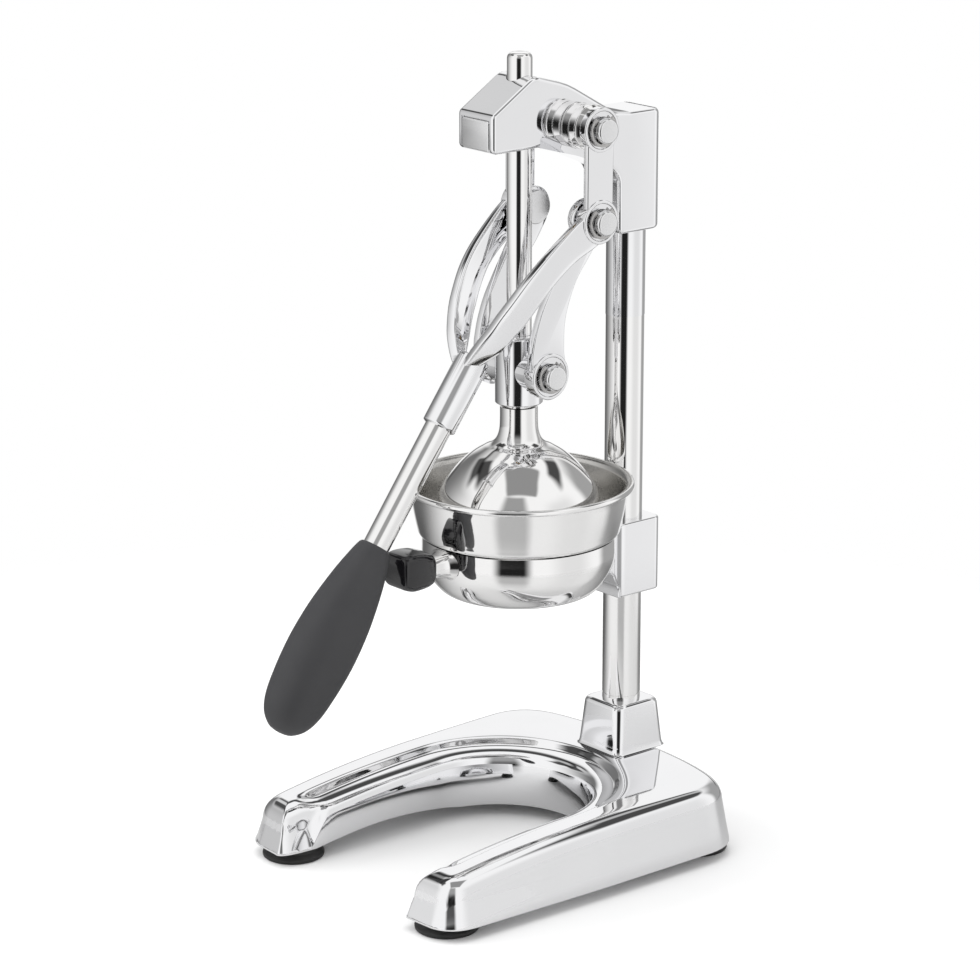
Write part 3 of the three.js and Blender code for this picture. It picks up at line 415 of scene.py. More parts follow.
def rounded(corners, is_closed=True, step=ROUND_STEP):
    """Points of the outline through corners (u, v, radius), with tangent rounds."""
    points = []
    for i, corner in enumerate(corners):
        here = Vector(corner[:2])
        radius = corner[2] if len(corner) > 2 else 0
        is_end = not is_closed and i in (0, len(corners) - 1)
        if not radius or is_end:
            points.append(here)
            continue
        before = (Vector(corners[i - 1][:2]) - here).normalized()
        after = (Vector(corners[(i + 1) % len(corners)][:2]) - here).normalized()
        half_angle = before.angle(after) / 2
        centre = here + (before + after).normalized() * radius / math.sin(half_angle)
        first = here + before * radius / math.tan(half_angle) - centre
        cross = before.x * after.y - before.y * after.x
        sweep = -math.copysign(math.pi - 2 * half_angle, cross)
        count = max(2, math.ceil(abs(sweep) / step))
        for k in range(count + 1):
            points.append(centre + Matrix.Rotation(sweep * k / count, 2) @ first)
    return points


def turned(name, profile, centre=(0, 0, 0), axis=Z_AXIS, steps=96, smooth=SMOOTH):
    """A turned piece: (radius, height) points, drawn as a chain and spun round an axis."""
    axis = Vector(axis)
    side = axis.orthogonal().normalized()
    middle = spot(*centre)
    points = [middle + (axis * height + side * radius) * MM for radius, height in profile]
    piece = start(name, bpy.ops.mesh.primitive_plane_add, size=MM)
    editing(piece)
    bpy.ops.mesh.merge(type="CENTER")
    bpy.ops.transform.translate(value=points[0])
    for before, after in zip(points, points[1:]):
        bpy.ops.mesh.extrude_region_move(TRANSFORM_OT_translate={"value": after - before})
    bpy.ops.mesh.select_all(action="SELECT")
    bpy.ops.mesh.spin(steps=steps, angle=2 * math.pi, center=middle, axis=axis)
    return settled(piece, smooth)


# %% [markdown]
# Four round rubber feet carry the base. They are moulded discs with a flared rim, so they
# are turned, and each one has a mesh of its own.

# %% Feet
SIDES = ((-1, "left"), (1, "right"))
FOOT_OUTLINE = [(0, 0), (17.5, 0, 1.2), (17.6, 2.4, 0.8), (14.6, 4.6, 1.5), (14, 6.7), (0, 6.7)]
FOOT_X = 69
FOOT_Y = {"front": -108.7, "rear": 75}
for side, word in SIDES:
    for end, y in FOOT_Y.items():
        foot = turned(f"rubber_foot_{end}_{word}", rounded(FOOT_OUTLINE, False),
                      (side * FOOT_X, y, 0))
        hand_in(foot, "stand", "rubber_foot", f"foot_{end}_{word}")

# %% [markdown]
# ## The column and its socket
#
# The column is a bar of bright steel with a fine turned line just above its socket. The
# socket is a square collar that flares at the base. Its rings are rounded squares.

# %% Column
COLUMN_Y, COLUMN_R = 78.2, 11.0
COLUMN_LOW, COLUMN_TOP = 16, 402
LINE_Z, LINE_DEPTH = 75.2, 0.35
line_r = COLUMN_R - LINE_DEPTH
column = turned("column_bar", [
    (0, COLUMN_LOW), (COLUMN_R, COLUMN_LOW), (COLUMN_R, LINE_Z - 0.5), (line_r, LINE_Z - 0.3),
    (line_r, LINE_Z + 0.3), (COLUMN_R, LINE_Z + 0.5), (COLUMN_R, COLUMN_TOP - 1),
    (COLUMN_R - 1, COLUMN_TOP), (0, COLUMN_TOP)], (0, COLUMN_Y, 0), steps=128)
hand_in(column, "stand", "polished_steel", "column")

SOCKET_LEVELS = [
    # height, half side, corner radius
    (43.15, 19.4, 5.4), (43.5, 19.0, 5.3), (44.1, 18.7, 5.3), (45.2, 18.45, 5.3),
    (47.0, 18.25, 5.4), (68.9, 16.5, 6.0), (69.9, 16.35, 6.2), (70.7, 16.0, 6.4),
    (71.3, 15.4, 6.6), (71.8, 14.5, 7.0), (72.0, 13.4, 7.4),
]


def box_corners(u0, u1, v0, v1, corner):
    """The corners of a rectangle, each with the same round."""
    return [(u0, v0, corner), (u1, v0, corner), (u1, v1, corner), (u0, v1, corner)]


socket = casting("socket_collar", [
    [spot(p.x, p.y + COLUMN_Y, z) for p in rounded(box_corners(-w, w, -w, w, corner))]
    for z, w, corner in SOCKET_LEVELS])
hand_in(socket, "stand", "polished_casting", "column_socket")

# %% [markdown]
# ## Plates and carving
#
# A flat casting is a side view that is filled and pulled out to its width. Where two forms
# meet, one is carved with the other: taken out of it, joined to it or met with it. The tools
# of that are pieces too, and they go when the cut is made.

# %% Plates
def pick_edges(piece, wanted):
    """Selects the edges of the open piece whose two ends satisfy wanted."""
    bpy.ops.mesh.select_mode(type="EDGE")
    bpy.ops.mesh.select_all(action="DESELECT")
    shape = bmesh.from_edit_mesh(piece.data)
    for edge in shape.edges:
        edge.select_set(wanted(edge.verts[0].co, edge.verts[1].co))
    bmesh.update_edit_mesh(piece.data)


def plate(name, outline, x0, x1, bevel=0.0, segments=3):
    """A flat casting: a filled side view of (y, z) points, pulled out from x0 to x1."""
    piece = start(name, bpy.ops.mesh.primitive_circle_add,
                  vertices=len(outline), fill_type="NGON", radius=MM)
    for vertex, point in zip(piece.data.vertices, outline):
        vertex.co = spot(x0, point[0], point[1])
    editing(piece)
    bpy.ops.mesh.extrude_region_move(TRANSFORM_OT_translate={"value": X_AXIS * (x1 - x0) * MM})
    if bevel:
        ends = [spot(x, 0, 0).x for x in (x0, x1)]
        pick_edges(piece, lambda a, b: any(
            abs(a.x - end) < 1e-7 and abs(b.x - end) < 1e-7 for end in ends))
        bpy.ops.mesh.bevel(offset=bevel * MM, segments=segments, profile=0.5,
                           affect="EDGES", clamp_overlap=False)
    return settled(piece)


# %% [markdown]
# Each cut, join or meeting is one boolean. What both sides of the press have is made on the
# right and mirrored, and plain bars serve as drills.

# %% Carving
TOOL_STEPS = 64


def apply_modifier(piece, kind, **settings):
    """Adds a modifier to a piece with its settings, and applies it."""
    alone(piece)
    bpy.ops.object.modifier_add(type=kind)
    modifier = piece.modifiers[-1]
    for key, value in settings.items():
        setattr(modifier, key, value)
    bpy.ops.object.modifier_apply(modifier=modifier.name)


def carved(piece, *tools, operation="DIFFERENCE", smooth=SMOOTH):
    """The piece after each tool was taken out of it, joined to it or met with it."""
    for tool in tools:
        apply_modifier(piece, "BOOLEAN", object=tool, operation=operation, solver="EXACT")
        bpy.data.objects.remove(tool)
    editing(piece)
    return settled(piece, smooth)


def softened(piece, width, segments=3, limit=SMOOTH):
    """Rounds off every edge of the piece that is sharper than the limit."""
    apply_modifier(piece, "BEVEL", width=width * MM, segments=segments, limit_method="ANGLE",
                   angle_limit=math.radians(limit), use_clamp_overlap=False)
    editing(piece)
    return settled(piece)


def twin(piece, name):
    """The same piece for the other side of the press, with a mesh of its own."""
    other = piece.copy()
    other.data = piece.data.copy()
    other.name = name
    other.data.name = name
    bpy.context.scene.collection.objects.link(other)
    other.data.transform(Matrix.Scale(-1, 4, X_AXIS))
    editing(other)
    return settled(other)


def bar_profile(radius, low, high):
    """Half section of a plain bar."""
    return [(0, low), (radius, low), (radius, high), (0, high)]


def rod_tool(radius, z0, z1, y=0.0):
    """An upright cylinder for carving."""
    return turned("tool", bar_profile(radius, z0, z1), (0, y, 0), steps=TOOL_STEPS)


def bar_tool(radius, x0, x1, at):
    """A cylinder along X for carving."""
    return turned("tool", bar_profile(radius, x0, x1), (0, *at), X_AXIS, TOOL_STEPS)


# %% [markdown]
# ## The head
#
# The head is the press's crest: its side view rises to a peak over the plunger, dips to a
# saddle and ends in the block that grips the column. It is a thick plate with large rounds.
# The plunger and the column pass through real bores, so nothing meets when the lever moves.

# %% Head
HEAD_OUTLINE = [
    (-31, 405, 3.4), (2, 405.2, 3), (32, 396.9, 50), (59.6, 385.2, 11), (60, 349.5, 3.4),
    (92, 349.5, 3.4), (92, 417.3, 4), (68, 417.4, 14), (57, 418.6, 10), (22, 438.2, 50),
    (-1.5, 444.6, 10), (-31, 425.8, 3.4),
]
HEAD_HOLLOW = [(1.7, 385), (1.7, 411, 1), (48, 411, 8), (48, 385)]
HEAD_HALF, HEAD_EDGE, REAR_ROUND = 15.2, 2.3, 7
NOSE_Y, HEAD_REAR_Y = -31, 92
HOLLOW_DEPTH, HOLLOW_EDGE = 2.5, 0.6
BADGE = {"half": 11.2, "low": 406.4, "high": 423.0, "corner": 1.6, "depth": 1.2, "play": 0.5}
OVERRUN = 5
ROD_R, BORE_PLAY, COLUMN_PLAY = 7.0, 0.3, 0.2
BUSH_R, BUSH_TOP = 10.3, 419.8

head = plate("head_body", rounded(HEAD_OUTLINE), -HEAD_HALF, HEAD_HALF)
plan = rounded([(-HEAD_HALF, -40), (HEAD_HALF, -40), (HEAD_HALF, HEAD_REAR_Y, REAR_ROUND),
                (-HEAD_HALF, HEAD_REAR_Y, REAR_ROUND)])
plan_rings = [[spot(p.x, p.y, z) for p in plan] for z in (340, 460)]
head = carved(head, casting("tool", plan_rings), operation="INTERSECT")
head = softened(head, HEAD_EDGE, 5)
recess_outline = rounded(box_corners(NOSE_Y - OVERRUN, NOSE_Y + BADGE["depth"],
                                     BADGE["low"] - BADGE["play"],
                                     BADGE["high"] + BADGE["play"], 0))
recess_half = BADGE["half"] + BADGE["play"]
recess = plate("tool", recess_outline, -recess_half, recess_half)
hollow = plate("tool", rounded(HEAD_HOLLOW), HEAD_HALF - HOLLOW_DEPTH, HEAD_HALF + OVERRUN,
               HOLLOW_EDGE)
head = carved(head, recess, hollow, twin(hollow, "tool_left"),
              rod_tool(ROD_R + BORE_PLAY, 380, 470), rod_tool(BUSH_R, 380, BUSH_TOP),
              rod_tool(COLUMN_R + COLUMN_PLAY, 300, COLUMN_TOP + 1, COLUMN_Y))
hand_in(head, "stand", "polished_casting", "head_casting")

# %% [markdown]
# On the nose sits a small brushed plate in a shallow recess. It is bare, with a fine bevel.

# %% Nose plate
# y of a ring, and its share of the plate's full size
NOSE_LEVELS = [(-29.9, 1.0), (-31.1, 1.0), (-31.3, 0.985), (-31.4, 0.96)]
badge_ring = rounded(box_corners(-BADGE["half"], BADGE["half"], BADGE["low"], BADGE["high"],
                                 BADGE["corner"]))
middle_z = (BADGE["low"] + BADGE["high"]) / 2
nose = casting("nose_badge", [
    [spot(p.x * share, y, middle_z + (p.y - middle_z) * share) for p in badge_ring]
    for y, share in NOSE_LEVELS])
hand_in(nose, "stand", "plate_steel", "nose_plate")

# %% [markdown]
# ## The fulcrum
#
# A steel axle runs through the head. On each side a flanged spacer keeps the yoke off the
# head, and a spring clip with three lugs sits in the axle's groove beside the yoke's eye.

# %% Fulcrum
FULCRUM = (28.4, 414.9)
PIN_R, PIN_END_X, GROOVE_R = 7.0, 41.7, 5.4
EYE_FACE_X = 35.8
CLIP_THICK, CLIP_PLAY = 1.2, 0.3
BORE_R = PIN_R + BORE_PLAY
SPACER_OUTLINE = [
    (BORE_R, 15.5), (12.7, 15.5, 0.4), (12.7, 16.3, 0.3), (12.4, 16.6, 0.2), (12.4, 21.5, 0.2),
    (12.1, 21.7, 0.1), (12.1, 22.0, 0.1), (12.4, 22.2, 0.2), (12.4, 26.4, 0.3),
    (12.8, 26.9, 0.4), (12.8, 27.9, 0.5), (10.6, 30.5, 0.3), (BORE_R, 30.5), (BORE_R, 15.5),
]


def pin_profile(x0, face, x1):
    """Half section of a pin with the clip's groove beside a face and a soft outer end."""
    groove = face + CLIP_PLAY
    groove_end = groove + CLIP_THICK + 2 * CLIP_PLAY
    return rounded([
        (0, x0), (PIN_R, x0, 0.6), (PIN_R, groove), (GROOVE_R, groove), (GROOVE_R, groove_end),
        (PIN_R, groove_end, 0.4), (PIN_R, x1, 1.7), (0, x1)], False)


for side, word in SIDES:
    spacer = turned(f"spacer_ring_{word}", rounded(SPACER_OUTLINE, False, FINE_STEP),
                    (0, *FULCRUM), X_AXIS * side)
    hand_in(spacer, "stand", "polished_steel", f"fulcrum_spacer_{word}")
    axle = turned(f"axle_end_{word}", pin_profile(0, EYE_FACE_X, PIN_END_X), (0, *FULCRUM),
                  X_AXIS * side, TOOL_STEPS)
    hand_in(axle, "stand", "satin_steel", "fulcrum_axle")

# %% [markdown]
# The same spring clip holds all six pin ends: an open ring of dark steel, stamped from sheet,
# with its mouth up and three lugs that reach into the groove. It is a plate, so its outline
# is drawn once, and the left ones are twins of the right ones.

# %% Spring clips
MIDDLE, LOWER = (28.4, 364.3), (0.0, 280.7)
LINK_FACE_X = 27.2
CLIP_R, LUG_R, LUG_HEIGHT, CLIP_EDGE = 9.2, 5.7, 1.9, 0.25
MOUTH, LUG_FROM_MOUTH = 38, 12
LUG_HALF, LUG_END = 10, 16
CLIP_STEPS = 72


def clip_outline():
    """Open ring of a spring clip, with its mouth up and three lugs that reach inwards."""
    first, last = 90 + MOUTH, 450 - MOUTH
    lugs = (last - LUG_FROM_MOUTH, 270, first + LUG_FROM_MOUTH)
    inner = []
    for k in range(CLIP_STEPS + 1):
        angle = last - (last - first) * k / CLIP_STEPS
        away = min(abs(angle - lug) for lug in lugs)
        radius = LUG_R + LUG_HEIGHT * eased(away, LUG_HALF, LUG_END)
        inner.append(Vector((radius * math.cos(math.radians(angle)),
                             radius * math.sin(math.radians(angle)))))
    return arc((0, 0), CLIP_R, first, last, 60) + inner


for label, face, at, body in (("fulcrum", EYE_FACE_X, FULCRUM, "stand"),
                              ("middle", EYE_FACE_X, MIDDLE, "lever"),
                              ("lower", LINK_FACE_X, LOWER, "links")):
    outline = [Vector((p.x + at[0], p.y + at[1])) for p in clip_outline()]
    clip_x = face + 2 * CLIP_PLAY
    clip = plate(f"{label}_ring_right", outline, clip_x, clip_x + CLIP_THICK, CLIP_EDGE, 2)
    other = twin(clip, f"{label}_ring_left")
    hand_in(clip, body, "dark_steel", f"{label}_clip_right")
    hand_in(other, body, "dark_steel", f"{label}_clip_left")

# %% [markdown]
# ## The yoke
#
# The yoke is the press's hardest casting. Two flat arms hang on the axle and carry an eye at
# each end. From the lower eyes two bars swing down and in, meet in a crotch and grow into
# the socket of the handle. The bars are one skin that follows a U, with hollow inner faces.

# %% Yoke bars
LEAN = math.radians(43)
BAR_STATIONS = [
    # x, distance below the middle pivot, half thickness, lowest and highest reach across
    (32.4, -4.0, 2.3, -8.0, 8.0), (32.4, 4.0, 2.3, -9.0, 10.5), (31.9, 12.0, 2.4, -7.5, 12.4),
    (30.6, 25.0, 2.6, -2.6, 14.1), (28.9, 40.0, 2.8, -0.4, 15.4), (26.4, 53.0, 2.9, -1.1, 15.3),
    (23.0, 65.5, 3.0, -2.9, 13.7), (19.9, 74.5, 3.0, -4.1, 12.2), (16.5, 82.5, 3.0, -5.4, 10.0),
    (12.6, 89.6, 2.9, -5.6, 8.0), (8.2, 96.0, 2.7, -5.0, 5.2), (4.2, 101.0, 2.4, -4.6, 2.4),
    (0.0, 104.0, 2.0, -4.2, 0.5),
]
# Share of the half thickness outwards, share of half the reach; "web" is the hollow's floor
BAR_SECTION = [
    (0.55, -1.0), (0.85, -0.97), (1.0, -0.9), (1.06, -0.6), (1.1, -0.25), (1.1, 0.25),
    (1.06, 0.6), (1.0, 0.9), (0.85, 0.97), (0.55, 1.0), (-0.55, 1.0), (-0.85, 0.97),
    (-1.0, 0.92), (-1.0, 0.8), (-0.96, 0.7), ("web", 0.6), ("web", 0.3), ("web", -0.3),
    ("web", -0.6), (-0.96, -0.7), (-1.0, -0.8), (-1.0, -0.92), (-0.85, -0.97), (-0.55, -1.0),
]
BAR_STEPS = 110
CROTCH_X = 4
WEB_SHARE, WEB_START, WEB_END, WEB_LOSS = 0.42, (8, 24), (84, 94), 0.9


def on_lean(x, below, across):
    """A place on the bars: distance below the middle pivot along the lean, and across it."""
    y = MIDDLE[0] - below * math.sin(LEAN) - across * math.cos(LEAN)
    z = MIDDLE[1] - below * math.cos(LEAN) + across * math.sin(LEAN)
    return spot(x, y, z)


def bar_rings():
    """Sections of the U from the right eye down round the crotch and up to the left eye."""
    mirror = [(-x, s, t, low, high) for x, s, t, low, high in reversed(BAR_STATIONS[:-1])]
    stations = flowing([*BAR_STATIONS, *mirror], BAR_STEPS)
    rings = []
    for i, (x, s, thick, low, high) in enumerate(stations):
        ahead = stations[min(i + 1, len(stations) - 1)]
        behind = stations[max(i - 1, 0)]
        run = Vector((ahead[0] - behind[0], ahead[1] - behind[1])).normalized()
        out = Vector((-run.y, run.x))
        is_crotch = abs(x) < CROTCH_X
        if is_crotch and out.y < 0 or not is_crotch and out.x * x < 0:
            out = -out
        mid, reach = (low + high) / 2, (high - low) / 2
        web = WEB_SHARE * thick * (1 - WEB_LOSS * eased(s, *WEB_END)) * eased(s, *WEB_START)
        ring = []
        for u, v in BAR_SECTION:
            depth = -thick + 2 * web if u == "web" else u * thick
            ring.append(on_lean(x + out.x * depth, s + out.y * depth, mid + v * reach))
        rings.append(ring)
    return rings


bars = casting("yoke_body", bar_rings(), smooth=50)
print("yoke bars", len(bars.data.polygons), "faces")

# %% [markdown]
# The arm with its two eyes is modelled once, on the right, and joined from a plate and two
# turned rings. Its twin, the bars and the handle's socket then become one casting with it,
# and both bores are cut through all of it at once, so that they line up.

# %% Yoke
ARM_IN, ARM_OUT, ARM_EDGE = 30.8, 34.8, 0.9
ARM_HALF, LOWER_EYE_IN = 9.4, 29
TILT = math.radians(36.4)
HANDLE_TOP = (-32.1, 291.0)
HANDLE_AXIS = Vector((0, -math.sin(TILT), -math.cos(TILT)))

arm = plate("tool", rounded([
    (FULCRUM[0] - ARM_HALF, FULCRUM[1]), (FULCRUM[0] - ARM_HALF, MIDDLE[1] + 4, 6),
    (FULCRUM[0] - 11, MIDDLE[1] - 4, 4), (FULCRUM[0] + 9, MIDDLE[1] - 4, 4),
    (FULCRUM[0] + ARM_HALF, FULCRUM[1])]), ARM_IN, ARM_OUT, ARM_EDGE)
eye_profile = rounded([
    (BORE_R, ARM_IN), (12.3, ARM_IN, 0.5), (12.3, EYE_FACE_X, 0.9), (10.6, EYE_FACE_X, 0.4),
    (10.2, 35.3, 0.3), (BORE_R, 35.3), (BORE_R, ARM_IN)], False)
# The lower eye reaches further in, to the link
lower_eye_profile = [(r, LOWER_EYE_IN if x < ARM_IN + 0.1 else x) for r, x in eye_profile]
right_arm = carved(arm, turned("tool", eye_profile, (0, *FULCRUM), X_AXIS),
                   turned("tool", lower_eye_profile, (0, *MIDDLE), X_AXIS), operation="UNION")
left_arm = twin(right_arm, "tool_left")
yoke_socket = turned("tool", rounded([
    (0, -0.5), (9.6, -0.5, 2.2), (9.6, 42.2, 1.2), (7.7, 43.2), (0, 43.2)], False),
    (0, *HANDLE_TOP), HANDLE_AXIS)
yoke = carved(bars, right_arm, left_arm, yoke_socket, operation="UNION", smooth=50)
yoke = carved(yoke, bar_tool(BORE_R, -60, 60, FULCRUM), bar_tool(BORE_R, -60, 60, MIDDLE),
              smooth=50)
hand_in(yoke, "lever", "polished_casting", "lever_yoke")

# %% [markdown]
# ## Handle and grip
#
# A bright rod leads from the socket into a soft charcoal grip, which swells towards the
# hand's heel and ends in a round butt. Both are turned on the handle's leaning axis.

# %% Handle
handle_profile = [(0, 40), (7.6, 40), (7.4, 122), (5, 122), (5, 180), (0, 180)]
handle = turned("handle_bar", handle_profile, (0, *HANDLE_TOP), HANDLE_AXIS)
hand_in(handle, "lever", "polished_steel", "handle_rod")

GRIP_SMOOTH = 45
GRIP_ROWS = [
    (8.2, 116.5), (9.0, 117.2), (10.0, 119.4), (11.6, 125.0), (14.1, 135.5), (16.1, 146.3),
    (17.7, 157.1), (18.7, 168.0), (19.15, 178.8), (18.95, 189.6), (18.15, 200.2), (16.9, 210.5),
    (14.9, 218.0), (11.8, 223.8), (7.2, 227.9), (3.4, 229.2), (0, 229.5),
]
grip_line = [(max(0.0, r), s) for r, s in flowing(GRIP_ROWS, 96)]
grip_line[-1] = GRIP_ROWS[-1]
grip = turned("charcoal_handle", [(7.75, 124), (7.75, 117.0), *grip_line], (0, *HANDLE_TOP),
              HANDLE_AXIS, 128, GRIP_SMOOTH)
editing(grip)
bpy.ops.mesh.fill_holes(sides=0)
settled(grip, GRIP_SMOOTH)
hand_in(grip, "lever", "charcoal_grip", "handle_grip")

# %% [markdown]
# ## The links
#
# Two flat links hang between the yoke's middle eyes and the crosshead. Each one narrows
# below its small upper eye and swells into a round lower boss with a raised rim.

# %% Links
LINK_IN, LINK_OUT, LINK_EDGE = 20.5, 25.5, 0.7
HUB_R, HUB_OUT, BOSS_R = 8.4, 28.7, 13
LINK_FRONT = [(15.4, 352.4), (8.7, 340.5), (1.8, 329), (-4.8, 317), (-9.2, 305), (-11.6, 294)]
LINK_BACK = [(11, 293), (11.4, 308), (14.5, 320), (20.4, 332.7), (30.5, 345.6), (37.4, 356)]
link_outline = [
    *arc(MIDDLE, 11.5, -30, 200, 40), *flowing(LINK_FRONT, 40),
    *arc(LOWER, BOSS_R, 160, 380, 40), *flowing(LINK_BACK, 48),
]
link = plate("link_plate_right", link_outline, LINK_IN, LINK_OUT, LINK_EDGE)
boss = turned("tool", rounded([
    (0, LINK_IN), (BOSS_R, LINK_IN), (BOSS_R, LINK_FACE_X, 0.9), (11.3, LINK_FACE_X, 0.4),
    (10.9, 26.7, 0.3), (0, 26.7)], False), (0, *LOWER), X_AXIS)
link = carved(link, boss, bar_tool(HUB_R, LINK_IN, HUB_OUT, MIDDLE), operation="UNION")
link = carved(link, bar_tool(BORE_R, 0, 60, MIDDLE), bar_tool(BORE_R, 0, 60, LOWER))
hand_in(link, "links", "polished_casting", "link_right")
hand_in(twin(link, "link_plate_left"), "links", "polished_casting", "link_left")

# %% [markdown]
# The middle pins have a flat head behind the link, and the lower pins come out of the
# crosshead. Both carry a clip's groove, so they share the axle's half section.

# %% Pins
PIN_HEAD = [(0, 18.1), (9.2, 18.1), (9.6, 18.5), (9.6, 20.2)]
LOWER_PIN_END_X = 33.1
for side, word in SIDES:
    middle_pin = turned(f"middle_bolt_{word}",
                        PIN_HEAD + pin_profile(20.2, EYE_FACE_X, PIN_END_X)[1:],
                        (0, *MIDDLE), X_AXIS * side, TOOL_STEPS)
    hand_in(middle_pin, "lever", "satin_steel", f"middle_pin_{word}")
    lower_pin = turned(f"lower_bolt_{word}", pin_profile(LINK_IN, LINK_FACE_X, LOWER_PIN_END_X),
                       (0, *LOWER), X_AXIS * side, TOOL_STEPS)
    hand_in(lower_pin, "links", "satin_steel", f"lower_pin_{word}")

# %% [markdown]
# ## Plunger, crosshead and bell
#
# The plunger rod ends in a dome above the head and in the crosshead below it. The crosshead
# is a barrel for the links' pins on an upright sleeve, each turned on its own axis and then
# joined, with a bore for the rod.

# %% Plunger
ROD_LOW, ROD_TOP = 290, 455.8
rod = turned("plunger_bar", rounded([
    (0, ROD_LOW), (ROD_R, ROD_LOW), (ROD_R, ROD_TOP, 3.2), (0, ROD_TOP)], False))
hand_in(rod, "plunger", "polished_steel", "plunger_rod")

crosshead = turned("crosshead_body", rounded([
    (0, 260), (11.2, 260, 0.5), (13.4, 261.8, 0.8), (13.4, 300, 1.8), (0, 300)], False))
barrel = turned("tool", rounded([
    (0, -20.2), (11.5, -20.2, 0.7), (11.5, -17.6, 0.6), (10.3, -16.4, 0.8), (10.3, 16.4, 0.8),
    (11.5, 17.6, 0.6), (11.5, 20.2, 0.7), (0, 20.2)], False), (0, *LOWER), X_AXIS)
crosshead = carved(crosshead, barrel, operation="UNION")
crosshead = carved(crosshead, rod_tool(ROD_R + BORE_PLAY, ROD_LOW - BORE_PLAY, 320))
hand_in(crosshead, "plunger", "polished_casting", "crosshead")

# %% [markdown]
# Under the crosshead hangs the bell. The real one is spun from sheet, so it has an outer and
# an inner skin that meet in a rolled lip, and one turned profile runs along both.

# %% Bell
BELL_OUTER = [
    (10.65, 259.4), (10.65, 252), (11.0, 246), (12.4, 241.6), (15.0, 238.6), (19.5, 236.2),
    (25.5, 232.6), (30.6, 228.4), (35.4, 223.4), (40.5, 217.0), (43.6, 211.4), (45.1, 206.0),
    (45.5, 201.6),
]
BELL_LIP = [(45.3, 200.5), (44.7, 200.0), (43.6, 200.0), (43.0, 200.5)]
BELL_INNER = [(42.8, 201.6), (42.6, 206.0), (41.0, 211.0), (38.0, 216.0), (33.2, 221.7),
              (23.8, 230.0), (12.0, 235.4), (0.0, 237.0)]
bell_profile = [(0, 259.4), *flowing(BELL_OUTER, 90), *BELL_LIP,
                *[(max(0.0, r), z) for r, z in flowing(BELL_INNER, 40)]]
bell_profile[-1] = BELL_INNER[-1]
bell = turned("press_bell", bell_profile, steps=160, smooth=60)
hand_in(bell, "plunger", "polished_steel", "press_cone")

# %% [markdown]
# ## Cup, bowl and strainer
#
# The cup is a spun pan with a rolled rim: polished outside, satin inside. It stands in the
# bowl, which has a round shoulder and an outlet in its floor. Both are thin walls, so each
# profile runs along the outside and comes back along the inside.

# %% Cup and bowl
SHELL_STEPS, SHELL_SMOOTH = 192, 50
CUP_OUTER = [(52.6, 186.5), (55.0, 187.0), (56.6, 188.6), (57.4, 191.5), (58.2, 195.0),
             (59.2, 200.0), (60.2, 206.0), (60.9, 210.5), (61.4, 213.0)]
CUP_RIM = [(62.6, 213.3), (63.9, 213.5), (64.7, 214.4), (64.7, 215.4), (64.2, 216.3),
           (63.2, 216.7), (62.0, 216.5), (60.6, 215.6), (59.8, 214.6)]
CUP_INNER = [(59.3, 213.2), (58.8, 210.5), (58.0, 206.0), (57.0, 200.0), (56.0, 195.0),
             (55.1, 191.8), (53.8, 189.6), (52.0, 188.7)]
cup = turned("cup_shell", [(46, 186.5), *flowing(CUP_OUTER, 36), *CUP_RIM,
                           *flowing(CUP_INNER, 36), (46, 188.7), (46, 186.5)],
             steps=SHELL_STEPS, smooth=SHELL_SMOOTH)
hand_in(cup, "bowl", "polished_steel", "strainer_cup")

BOWL_OUTER = [(54.5, 186.1), (54.5, 181.0), (54.5, 176.0), (53.9, 171.6), (52.4, 167.2),
              (49.2, 161.4), (46.6, 158.0), (44.0, 155.5), (41.0, 154.0), (38.0, 153.5)]
BOWL_OUTLET = [(21, 153.5), (20, 153.9), (20, 155.5), (21, 155.9)]
BOWL_INNER = [(38.0, 155.9), (41.0, 156.6), (43.4, 158.2), (46.0, 161.6), (49.6, 167.6),
              (51.5, 172.0), (52.1, 176.4), (52.1, 181.0), (52.1, 186.1)]
bowl = turned("bowl_shell", [*flowing(BOWL_OUTER, 60), *BOWL_OUTLET, *flowing(BOWL_INNER, 40),
                             BOWL_OUTER[0]], steps=SHELL_STEPS, smooth=SHELL_SMOOTH)
hand_in(bowl, "bowl", "polished_steel", "lower_bowl")

# %% [markdown]
# Under the bell a strainer cone waits for the fruit. Its drain slots are cut with one blade,
# added once for each slot and turned to its place round the press axis.

# %% Strainer
CONE_OUTER = [(52, 189.0), (52, 190.6), (44.5, 190.6), (41, 193.5), (39, 198), (37.5, 206),
              (31, 217), (21, 225.5), (8, 231.5), (0, 232.3)]
CONE_INNER = [(0, 230.5), (7.6, 229.7), (20, 223.9), (29.6, 215.9), (35.7, 205.5),
              (37.2, 197.6), (39.4, 192.2), (43.8, 189.0), (52, 189.0)]
SLOTS = 10
SLOT_SIZE = (24, 3, 17)
SLOT_R, SLOT_Z = 38, 204
strainer = turned("strainer_dome", [*CONE_OUTER, *CONE_INNER], steps=80)
for k in range(SLOTS):
    blade = start("tool", bpy.ops.mesh.primitive_cube_add, size=1)
    blade.data.transform(Matrix.Diagonal([*(size * MM for size in SLOT_SIZE), 1]))
    way_round = Matrix.Rotation(2 * math.pi * (k + 0.5) / SLOTS, 4, "Z")
    blade.data.transform(Matrix.Translation(spot(0, 0, SLOT_Z)) @ way_round
                         @ Matrix.Translation((SLOT_R * MM, 0, 0)))
    strainer = carved(strainer, blade)
hand_in(strainer, "bowl", "satin_steel", "strainer_cone")

# %% [markdown]
# The bowl's handle is a short chrome neck that flares where it meets the bowl, and a boxy
# black grip with a crowned top. Both are castings over rounded-rectangle sections.

